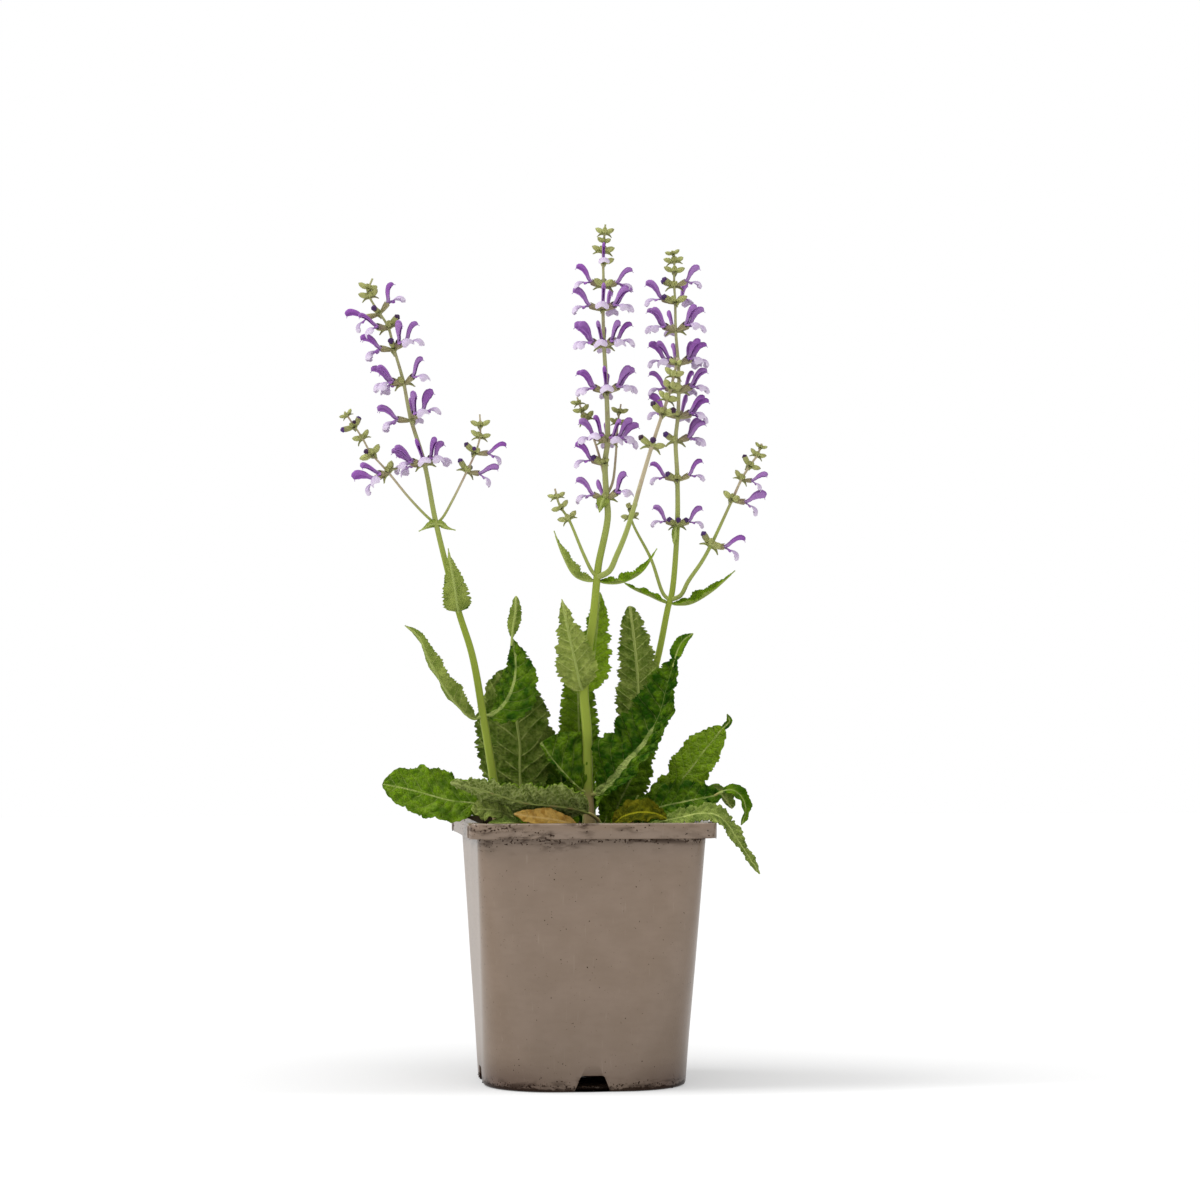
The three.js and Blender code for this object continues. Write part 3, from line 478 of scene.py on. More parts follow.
@dataclass(frozen=True)
class TaupePlastic:
    """Moulded polypropylene: satin, faintly mottled, scuffed by handling, with peat at its rim and foot and a
    painted shadow under its skirt.
    """

    base: str = "#6f5d4c"
    pale: str = "#746252"
    scuff: str = "#998b7c"
    dirt_and_shadow: str = "#21140d"
    grime: str = "#3d2314"
    roughness: float = 0.31
    gloss: float = 0.5
    mottle: float = 16.7      # sizes of its patterns, in millimetres
    scratch: float = 1.43
    smudge: float = 23.8
    film: float = 9.1
    speck: float = 1.39
    ragged: float = 6.25
    grain: float = 1.11
    rim: Span = (136.0, 148.0)    # heights between which each stain, and the painted shadow under the skirt, sets in
    # heights between which the painted shadow under the skirt sets in
    skirt: Span = (141.5, 146.2)
    foot: Span = (9.0, 1.5)
    wet: Span = (22.0, 1.0)
    corner: Span = (12.0, 50.0)   # how far out the foot's grime grows towards a corner
    hem: Span = (147.2, 146.6)    # the skirt's lower edge, where the painted shadow under it stops
    worn: Span = (40.0, -5.0)     # how far across the rim is more soiled
    splash: Span = (-60.0, -68.0)     # how far across the left face is splashed

    def build(self) -> bpy.types.Material:
        """Builds the material."""
        g = Graph(bpy.data.materials.new("taupe_plastic"))
        # one mask and one dark colour for the peat and for the painted shadow under the skirt
        dirt_and_shadow = self._peat(g)
        colour = g.add("Mix", dirt_and_shadow, self._skin(g), self.dirt_and_shadow)
        grain = g.add("TexNoise", g.place(), 1 / self.grain, 3.0)
        normal = g.add("Bump", named={"Height": grain, "Distance": 0.0002, "Strength": 0.35})
        gloss = g.add("MULTIPLY", g.add("SUBTRACT", 1.0, dirt_and_shadow), self.gloss)
        body = {"Roughness": self.roughness, "Specular IOR Level": gloss, "Normal": normal}
        return g.finish(g.add("BsdfPrincipled", colour, named=body))

    def _corner(self, g: Graph) -> Socket:
        """Rises from 0 to 1 towards the corners."""
        return g.add("MapRange", g.add("ABSOLUTE", g.axis("X")), *self.corner)

    def _skin(self, g: Graph) -> Socket:
        """Colours the plastic itself, darker and browner towards its foot, with upright scuffs."""
        place, up = g.place(), g.axis("Z")
        patches = g.patches(place, self.mottle, 5.0, 0.35, 0.7)
        colour = g.add("Mix", patches, self.base, self.pale)
        shade = g.add("MULTIPLY", g.add("MapRange", up, 100.0, 0.0), 0.1)
        colour = g.add("Mix", shade, colour, self.dirt_and_shadow)
        share = g.add("MULTIPLY_ADD", self._corner(g), 0.5, 0.18)
        grime = g.add("MULTIPLY", g.add("MapRange", up, *self.wet), share)
        colour = g.add("Mix", grime, colour, self.grime)
        drawn = g.add("Mapping", place, named={"Scale": (1.0, 1.0, 0.07)})
        scuffs = g.patches(drawn, self.scratch, 2.0, 0.66, 0.78)
        return g.add("Mix", g.add("MULTIPLY", scuffs, 0.15), colour, self.scuff)

    def _peat(self, g: Graph) -> Socket:
        """Spreads peat and painted shadow, from 0 to 1: smears on the rim, a painted shadow line under its
        skirt, specks and a ragged foot.
        """
        place, across, up = g.place(), g.axis("X"), g.axis("Z")
        flat = g.add("Mapping", place, named={"Scale": (1.0, 1.0, 3.0)})
        worn = g.add("MULTIPLY_ADD", g.add("MapRange", across, *self.worn), 0.7, 0.3)
        worn = g.add("MULTIPLY", g.add("MapRange", up, *self.rim), worn)
        smudges = g.patches(flat, self.smudge, 6.0, 0.42, 0.6)
        smear = g.add("MULTIPLY", smudges, worn)
        # painted shadow: a dark band just under the skirt's lower edge, which also thickens the film and the
        # specks there
        below = g.add("MapRange", up, *self.hem)
        skirt = g.add("MULTIPLY", g.add("MapRange", up, *self.skirt), below)
        soiled = g.add("MAXIMUM", smear, g.add("MapRange", up, *self.foot))
        soiled = g.add("MAXIMUM", soiled, skirt)
        left = g.add("MULTIPLY", g.add("MapRange", across, *self.splash), 0.5)
        splashed = g.add("MAXIMUM", soiled, left)
        specks = g.add("TexNoise", place, 1 / self.speck, 4.0)
        specks = g.add("MULTIPLY_ADD", splashed, 0.15, specks)
        specks = g.add("MULTIPLY", g.add("MapRange", specks, 0.695, 0.73), 0.92)
        film = g.patches(flat, self.film, 6.0, 0.42, 0.62)
        film = g.add("MULTIPLY", film, g.add("MULTIPLY_ADD", soiled, 0.75, 0.03))
        film = g.add("MAXIMUM", film, g.add("MULTIPLY", skirt, 0.22))
        edge = g.add("MULTIPLY_ADD", self._corner(g), -1.0, up)
        edge = g.add("MULTIPLY_ADD", g.add("TexNoise", place, 1 / self.ragged, 4.0), 5.0, edge)
        edge = g.add("MULTIPLY", g.add("MapRange", edge, 4.6, 3.6), 0.88)
        return g.add("MAXIMUM", g.add("MAXIMUM", film, specks), edge)


@dataclass(frozen=True)
class PeatSoil:
    """Damp peat compost: nearly black and dull, with browner crumbs."""

    dark: str = "#1d120b"
    brown: str = "#3d2a1c"
    crumb: float = 2.38       # sizes of its patterns, in millimetres
    grain: float = 0.67

    def build(self) -> bpy.types.Material:
        """Builds the material."""
        g = Graph(bpy.data.materials.new("peat_soil"))
        place = g.place()
        crumbs = g.patches(place, self.crumb, 5.0, 0.4, 0.68)
        grain = g.add("TexNoise", place, 1 / self.grain, 4.0)
        normal = g.add("Bump", named={"Height": grain, "Distance": 0.0006, "Strength": 1.0})
        body = {"Roughness": 0.95, "Specular IOR Level": 0.2, "Normal": normal}
        return g.finish(g.add("BsdfPrincipled", g.add("Mix", crumbs, self.dark, self.brown), named=body))


@dataclass(frozen=True)
class Blade:
    """One side of a wrinkled leaf: a net of veins over puckered green tissue, matt and a little downy."""

    name: str
    # the two ends of the tone, which is partly the leaf's colour and partly painted light and shade
    deep_and_shaded: str
    fresh_and_lit: str
    vein: str
    glow: str
    raised: bool = False      # veins stand out from the under side and are sunk in the upper side
    midrib: float = 0.9       # half width of the pale midrib, in millimetres
    rib: float = 0.9          # how strongly the midrib shows
    patchy: float = 0.0       # how much of it is lost in patches
    lateral: float = 0.6      # how strongly the side veins show
    net: float = 0.35         # how strongly the net of veins between them shows
    finest: float = 0.35      # how strongly the finest veins show beside that net
    mottled: float = 0.55     # how far its tone wanders from place to place
    blotch: str = ""
    translucent: float = 0.15
    roughness: float = 0.6
    down: float = 0.0         # how downy it is
    gap: float = 9.1          # sizes of its patterns, in millimetres: the gaps in the side veins,
    patch: float = 11.1       # the midrib's patches,
    mottle: float = 7.14      # the mottle,
    spot: float = 4.55        # the blotches,
    cell: float = 1.11        # the meshes of the finest veins,
    wander: float = 1.25      # their bends,
    fuzz: float = 0.45        # and the down

    def build(self) -> bpy.types.Material:
        """Builds the material."""
        g = Graph(bpy.data.materials.new(self.name))
        lamina = g.add("UVMap", uv_map="lamina")
        net = g.add("Attribute", out="Fac", attribute_name="net")
        lateral, fine, tone = self._laterals(g, lamina), self._finest(g, lamina), self._tone(g, lamina)
        # each leaf's tone is partly its own colour and partly painted light and shade
        colour = g.add("Mix", tone, self.deep_and_shaded, self.fresh_and_lit)
        if self.blotch:
            spots = g.patches(lamina, self.spot, 3.0, 0.5, 0.62)
            colour = g.add("Mix", spots, colour, self.blotch)
        bright, dim = 0.75 * self.net, 0.25 * self.net      # the net fades towards the deep, shaded end of the tone
        mesh = g.add("MAXIMUM", net, g.add("MULTIPLY", fine, self.finest))
        shown = g.add("MULTIPLY_ADD", tone, bright, dim)
        mesh = g.add("MULTIPLY", mesh, shown)
        veins = g.add("MULTIPLY", lateral, self.lateral)
        veins = g.add("MAXIMUM", mesh, veins)
        veins = g.add("MAXIMUM", veins, self._midrib(g, lamina))
        colour = g.add("Mix", veins, colour, self.vein)
        relief = g.add("MAXIMUM", net, lateral)
        relief = g.add("MULTIPLY_ADD", fine, 0.35, relief)
        relief = g.add("MULTIPLY", relief, 1.0 if self.raised else -1.0)
        fuzz = g.add("TexNoise", lamina, 1 / self.fuzz, 2.0)
        relief = g.add("MULTIPLY_ADD", fuzz, 0.3, relief)
        body = {
            "Roughness": self.roughness,
            "Specular IOR Level": 0.025,
            "Sheen Weight": self.down,
            "Sheen Roughness": 0.5,
            "Normal": g.add("Bump", named={"Height": relief, "Distance": 0.0005, "Strength": 1.0}),
        }
        return g.thin(colour, self.glow, self.translucent, body)

    def _laterals(self, g: Graph, lamina: Socket) -> Socket:
        """Draws the side veins, from 0 to 1: one at each whole number of 'form', broken, fading outwards."""
        phase = g.add("FRACT", g.axis("X", "form"))
        gap = g.add("MINIMUM", phase, g.add("SUBTRACT", 1.0, phase))
        side = g.add("SUBTRACT", g.axis("Y", "form"), 0.5)
        side = g.add("MULTIPLY", g.add("ABSOLUTE", side), 2.0)
        clear = g.add("MapRange", side, 0.02, 0.1)
        lines = g.add("MULTIPLY", g.add("MapRange", gap, 0.075, 0.015), clear)
        broken = g.patches(lamina, self.gap, 3.0, 0.32, 0.55)
        left = g.add("MULTIPLY_ADD", side, -0.5, broken)
        return g.add("MAXIMUM", g.add("MULTIPLY", lines, left), 0.0)

    def _midrib(self, g: Graph, lamina: Socket) -> Socket:
        """Draws the pale midrib, from 0 to 1, partly lost in patches."""
        out = g.add("ABSOLUTE", g.axis("Y", "lamina"))
        line = g.add("MapRange", out, self.midrib, self.midrib * 0.5)
        patches = g.patches(lamina, self.patch, 3.0, 0.35, 0.6)
        kept = g.add("MULTIPLY_ADD", patches, self.patchy, 1 - self.patchy)
        line = g.add("MULTIPLY", line, kept)
        return g.add("MULTIPLY", line, self.rib)

    def _finest(self, g: Graph, lamina: Socket) -> Socket:
        """Draws the finest veins, from 0 to 1, as the bent edges of small cells."""
        wander = g.add("TexNoise", lamina, 1 / self.wander, 2.0, out="Color")
        bent = g.add("VectorMath.ADD", lamina, wander)
        return g.add("MapRange", g.add("TexVoronoi", bent, 1 / self.cell), 0.12, 0.0)

    def _tone(self, g: Graph, lamina: Socket) -> Socket:
        """Gives the tone there, from 0 deep and shaded to 1 fresh and lit: the leaf's own, which is partly
        its colour and partly painted light and shade, and a mottle.
        """
        mottle = g.patches(lamina, self.mottle, 4.0, 0.3, 0.7)
        mottle = g.add("SUBTRACT", mottle, 0.5)
        own = g.add("Attribute", out="Fac", attribute_name="shade")
        return g.add("Clamp", g.add("MULTIPLY_ADD", mottle, self.mottled, own))


@dataclass(frozen=True)
class Stalk:
    """The skin of a stem or petiole: satin, greener below and flushed with purple above."""

    name: str
    low: str
    high: str
    flush: str
    turn: Span = (260, 380)   # heights between which low gives way to high, in millimetres
    flushed: float = 0.5
    starts: Span = (300, 360)    # heights between which the flush sets in
    joint: str = ""           # the tone below its lowest leaves
    foot: Span = (178, 166)   # heights between which that sets in
    patch: float = 7.14       # sizes of its patterns, in millimetres
    grain: float = 0.38

    def build(self) -> bpy.types.Material:
        """Builds the material."""
        g = Graph(bpy.data.materials.new(self.name))
        place, up = g.place(), g.axis("Z")
        colour = g.add("Mix", g.add("MapRange", up, *self.turn), self.low, self.high)
        if self.joint:
            below = g.add("MULTIPLY", g.add("MapRange", up, *self.foot), 0.75)
            colour = g.add("Mix", below, colour, self.joint)
        patches = g.patches(place, self.patch, 4.0, 0.48, 0.7)
        patches = g.add("MULTIPLY", patches, self.flushed)
        patches = g.add("MULTIPLY", patches, g.add("MapRange", up, *self.starts))
        grain = g.add("TexNoise", place, 1 / self.grain, 3.0)
        body = {
            "Roughness": 0.55,
            "Specular IOR Level": 0.2,
            "Sheen Weight": 0.06,
            "Normal": g.add("Bump", named={"Height": grain, "Distance": 0.00015, "Strength": 1.0}),
        }
        return g.finish(g.add("BsdfPrincipled", g.add("Mix", patches, colour, self.flush), named=body))


@dataclass(frozen=True)
class Petal:
    """A thin velvety petal that runs from one colour at its foot to another at its tip."""

    name: str
    foot: str
    middle: str
    tip: str
    other: str                # the tone that some copies lean to
    glow: str
    translucent: float = 0.25
    veins: float = 3.0        # how many streaks run along it: veins on the lip, painted shade near the ridge and mouth edges on the hood
    streak: str = "#7a4fa8"
    strength: float = 0.6     # how strongly they show
    fading: Span = (0.95, 0.4)    # shares of its length between which they set in
    opening: Span = (0.2, 0.6)    # where the foot gives way to the middle
    mottle: float = 1.11      # sizes of its patterns, in millimetres
    grain: float = 0.56

    def build(self) -> bpy.types.Material:
        """Builds the material."""
        g = Graph(bpy.data.materials.new(self.name))
        place, across, along = g.place(), g.axis("X", "form"), g.axis("Y", "form")
        colour = g.add("Mix", g.add("MapRange", along, *self.opening), self.foot, self.middle)
        colour = g.add("Mix", g.add("MapRange", along, 0.6, 1.0), colour, self.tip)
        own = g.add("Attribute", out="Fac", attribute_name="shade")
        colour = g.add("Mix", g.add("MULTIPLY", own, 0.7), colour, self.other)
        mottle = g.patches(place, self.mottle, 2.0, 0.35, 0.75)
        colour = g.add("Mix", g.add("MULTIPLY", mottle, 0.3), colour, self.middle)
        # streaks across 'form': on the lip real veins at the throat, on the hood full-length painted shade
        # near its ridge and mouth edges
        wave = g.add("MULTIPLY", across, self.veins * 2 * math.pi)
        lines = g.add("MapRange", g.add("SINE", wave), 0.35, 1.0)
        lines = g.add("MULTIPLY", lines, g.add("MapRange", along, *self.fading))
        colour = g.add("Mix", g.add("MULTIPLY", lines, self.strength), colour, self.streak)
        grain = g.add("TexNoise", place, 1 / self.grain, 2.0)
        body = {
            "Roughness": 0.6,
            "Specular IOR Level": 0.15,
            "Sheen Weight": 0.08,
            "Sheen Roughness": 0.4,
            "Normal": g.add("Bump", named={"Height": grain, "Distance": 0.0002, "Strength": 0.6}),
        }
        return g.thin(colour, self.glow, self.translucent, body)


@dataclass(frozen=True)
class Calyx:
    """A ribbed, downy calyx: olive ribs over a flush of purple that deepens to its teeth."""

    name: str = "calyx"
    rib: str = "#b2ae80"
    hollow: str = "#887d54"
    tip: str = "#6d4a60"
    ribs: int = 12

    def build(self) -> bpy.types.Material:
        """Builds the material."""
        g = Graph(bpy.data.materials.new(self.name))
        along = g.axis("Y", "form")
        wave = g.add("MULTIPLY", g.axis("X", "form"), self.ribs * 2 * math.pi)
        wave = g.add("SINE", wave)
        colour = g.add("Mix", g.add("MapRange", wave, -0.4, 0.8), self.hollow, self.rib)
        own = g.add("MULTIPLY", g.add("Attribute", out="Fac", attribute_name="shade"), 0.75)
        flush = g.add("MULTIPLY", g.add("MapRange", along, 0.2, 0.9), own)
        normal = g.add("Bump", named={"Height": wave, "Distance": 0.00015, "Strength": 0.8})
        body = {"Roughness": 0.6, "Specular IOR Level": 0.2, "Sheen Weight": 0.08, "Normal": normal}
        return g.thin(g.add("Mix", flush, colour, self.tip), self.rib, 0.12, body)


@dataclass(frozen=True)
class StudioFloor:
    """Seamless white paper that glows as if lit from behind, so that it stays white, with painted light and
    shade: a soft grey shadow pool beside the container, a wash of light in front of it and dark shade under
    it.
    """

    colour: str = "#a0a0a0"
    shade: str = "#050403"
    glow: float = 0.5
    light_wash: float = 0.5         # painted light: how much more it glows in front, washing out the shade there
    shadow_pool: float = 0.12        # painted shadow: how much the glow dips beside the container
    reach: Span = (300, 60)   # how far out the painted shadow pool ends and is deepest, in millimetres
    covered: Span = (56.2, 59.6)  # where the shade under the container ends
    front: Span = (-30, -160)    # where the painted wash of light sets in

    def build(self) -> bpy.types.Material:
        """Builds the material."""
        g = Graph(bpy.data.materials.new("studio_floor"))
        away = g.add("VectorMath.LENGTH", g.place())
        # painted shadow: the glow dips beside the container
        glow = g.add("MULTIPLY_ADD", g.add("MapRange", away, *self.reach), -self.shadow_pool, self.glow)
        # painted light: the floor glows more in front, washing out the shade there
        light_wash = g.add("MapRange", g.axis("Y"), *self.front)
        glow = g.add("MULTIPLY_ADD", light_wash, self.light_wash, glow)
        # painted shade: dark and unlit under the container
        lit = g.add("MapRange", away, *self.covered)
        body = {
            "Roughness": 0.9,
            "Specular IOR Level": 0.0,
            "Emission Color": "#ffffff",
            "Emission Strength": g.add("MULTIPLY", glow, lit),
        }
        return g.finish(g.add("BsdfPrincipled", g.add("Mix", lit, self.shade, self.colour), named=body))


class Look(Enum):
    """The kinds of leaf, by what their upper side looks like."""

    GREEN = "green"
    PALE = "pale"
    DOWNY = "downy"
    YELLOW = "yellow"
    DEAD = "dead"


class Finishes:
    """Every material of the scene, built once."""

    def __init__(self) -> None:
        """Builds them."""
        upper = Blade(
            "leaf_upper", deep_and_shaded="#1c4600", fresh_and_lit="#7a9c16", vein="#aeba6c", glow="#7fa60c", midrib=0.8,
            rib=0.75, patchy=0.65, lateral=0.42, net=0.22,
        ).build()
        under = Blade(
            "leaf_under", deep_and_shaded="#3c5c00", fresh_and_lit="#98a64e", vein="#b8c270", glow="#86a024", raised=True,
            midrib=1.0, lateral=0.8, net=0.36, finest=0.15, roughness=0.7, down=0.02,
        ).build()
        yellow = Blade(
            "leaf_yellowing", deep_and_shaded="#1f2a02", fresh_and_lit="#4f5206", vein="#8f8c1a", glow="#7f7c08",
            blotch="#57540a", net=0.8, finest=0.5,
        ).build()
        dead = Blade(
            "leaf_dry", deep_and_shaded="#94722e", fresh_and_lit="#bf9b50", vein="#d0b272", glow="#c8a048", blotch="#96702f",
            net=0.35, rib=0.5, roughness=0.8,
        ).build()
        pale = Blade(
            "leaf_pale", deep_and_shaded="#345008", fresh_and_lit="#84943e", vein="#b8c470", glow="#8fa63a", midrib=0.8, rib=0.8,
            patchy=0.4, lateral=0.7, net=1.0, finest=0.8, down=0.02,
        ).build()
        downy = Blade(
            "leaf_downy", deep_and_shaded="#30480a", fresh_and_lit="#768738", vein="#b4c074", glow="#86a024", raised=True,
            midrib=1.0, lateral=0.8, net=1.0, finest=0.5, roughness=0.7, down=0.02,
        ).build()
        petiole = Stalk("petiole", "#8c9a4c", "#9aa65c", "#94604c", flushed=0.6, starts=(215, 155)).build()
        straw = Stalk("dry_petiole", "#b98d48", "#b98d48", "#8c6a3a").build()
        self.leaf = {
            Look.GREEN: (upper, under, petiole),
            Look.PALE: (pale, under, petiole),
            Look.DOWNY: (upper, downy, petiole),
            Look.YELLOW: (yellow, yellow, petiole),
            Look.DEAD: (dead, dead, straw),
        }
        self.stalk = Stalk(
            "flower_stalk", "#82912f", "#9f9f70", "#85646a", turn=(280, 420), flushed=0.4, starts=(330, 420),
            joint="#94785c",
        ).build()
        self.branch = Stalk(
            "side_stalk", "#8c964c", "#aca083", "#8f6a6c", turn=(335, 360), starts=(320, 360),
        ).build()
        self.calyx = Calyx().build()
        self.bud_calyx = Calyx("bud_calyx", rib="#b4b876", hollow="#94984f", tip="#5c4a50").build()
        self.young = Calyx("young_bud", rib="#c0c484", hollow="#a3a85a", tip="#98955c").build()
        # the hood's dark full-length streaks are painted shade near its ridge and mouth edges
        self.hood = Petal(
            "hood", foot="#b295c0", middle="#9b5cb2", tip="#8b50a4", other="#b08cc0", glow="#b868d0",
            veins=3.33, streak="#6c3a82", strength=0.5, fading=(1.4, 1.2),
        ).build()
        self.lip = Petal(
            "lip", foot="#8a60a2", middle="#c4b1cd", tip="#ddd3e2", other="#ccbed3", glow="#e0d4e8",
            veins=4.0, opening=(0.3, 0.5),
        ).build()
        self.bud = Petal(
            "bud", foot="#57406a", middle="#38232f", tip="#301d34", other="#563684", glow="#5a3a78",
            translucent=0.08, strength=0.0,
        ).build()
        self.plastic = TaupePlastic().build()
        self.soil = PeatSoil().build()
        self.floor = StudioFloor().build()


# ---------------------------------------------------------------- leaves


def outline(share: float, belly: float, blunt: float) -> float:
    """Gives a blade's half width, as a share of its widest.

    Args:
        share: The place along the blade, from 0 to 1.
        belly: Where it is widest.
        blunt: How blunt its tip is: the smaller, the blunter.

    Returns:
        The half width there.
    """
    if share < belly:
        return max(math.sin(math.pi / 2 * share / belly), 0.0) ** 0.75
    return max(math.cos(math.pi / 2 * (share - belly) / (1 - belly)), 0.0) ** blunt


def grown(rule: Span, width: float) -> float:
    """Gives a measure of a leaf: a base, and so much more with each millimetre of the leaf's width."""
    return rule[0] + rule[1] * width


@dataclass(frozen=True)
class Leaf:
    """A leaf on its midrib.

    The blade begins at the share 'start' of the spine and faces 'up', which may turn to 'up_tip'. 'fold'
    lifts the two halves, 'wave' ripples the edges and 'steps' sets how often. 'left' and 'right' make one
    half narrower, and a 'tail' is the stretch past a pinched neck.
    """

    spine: tuple[Point, ...]
    width: float
    up: Point
    name: str = ""
    look: Look = Look.GREEN
    start: float = 0.15
    belly: float = 0.4
    blunt: float = 0.75
    fold: float = 20.0
    wave: float = 1.0
    steps: int = 11
    petiole: float = 1.6
    left: float = 1.0
    right: float = 1.0
    up_tip: Point | None = None
    rooted: bool = False
    fine: float = 0.8         # size of a face, in millimetres
    tone: float = 0.35        # partly the leaf's own colour, partly painted light and shade: from 0, deep and painted in shade, to 1, young and painted as lit
    rough: float = 1.0        # how strongly the blade is puckered and frilled
    jagged: float = 1.0       # how deeply its edge is toothed and lobed
    band: float = 0.0         # how much wider than usual the pale midrib is at its foot, in millimetres
    fades: float = 1.0        # share of its length past which the pale midrib is a thin line
    tail: Leaf | None = None

    def station(self, route: Route, share: float) -> Station:
        """Gives the station of the midrib at a share of the spine."""
        place, heading = route.at(share)
        return Station.facing(place, heading, Vector(self.up).lerp(Vector(self.up_tip or self.up), share))

    def build(self, bm: BMesh, seed: int) -> None:
        """Adds the leaf to a mesh.

        Args:
            bm: The mesh. The upper side, the under side and the rib take finishes 0, 1 and 2.
            seed: What sets this leaf's puckers and teeth apart from another's.
        """
        route = Route(self.spine)
        start = len(bm.verts)
        Lamina(self, route, seed).build(bm)
        self._rib(bm, route)
        bm.verts.ensure_lookup_table()
        shade = bm.verts.layers.float["shade"]
        for vert in bm.verts[start:]:
            vert[shade] = self.tone
        if self.tail:
            self.tail.build(bm, seed + 1)

    def _rib(self, bm: BMesh, route: Route) -> None:
        """Adds the petiole and the midrib, which stands out under the blade.

        Args:
            bm: The mesh.
            route: The leaf's spine.
        """
        peg = PEG if self.rooted else 0.0
        total = peg + RIB_REACH * route.length
        foot = 0.85 * self.petiole
        neck = 1.4 * self.start       # the share of the spine past which the rib only thins

        def station(along: float) -> Station:
            """Follows the spine, from straight down in the soil."""
            goal = along * total - peg
            if goal < 0:
                return Station.facing(Vector(self.spine[0]) + UP * goal, UP, Vector(self.up))
            share = goal / route.length
            here = self.station(route, share)
            drop = 0.75 * radius(along, 0.0) * smooth(self.start * 0.7, self.start * 1.3, share)
            return Station(here.p - here.n * drop, here.t, here.s, here.n)

        def radius(along: float, _turn: float) -> float:
            """Thins from the foot to the neck, and on to the tip."""
            share = max(along * total - peg, 0) / route.length
            if share < neck:
                return lerp(foot, min(PETIOLE_TIP, foot), share / neck)
            return lerp(min(PETIOLE_TIP, foot), RIB_TIP, min((share - neck) / (1 - neck), 1.0) ** 0.7)

        tube(bm, 8, max(int(total / 1.6), 6), station, radius, material=2)


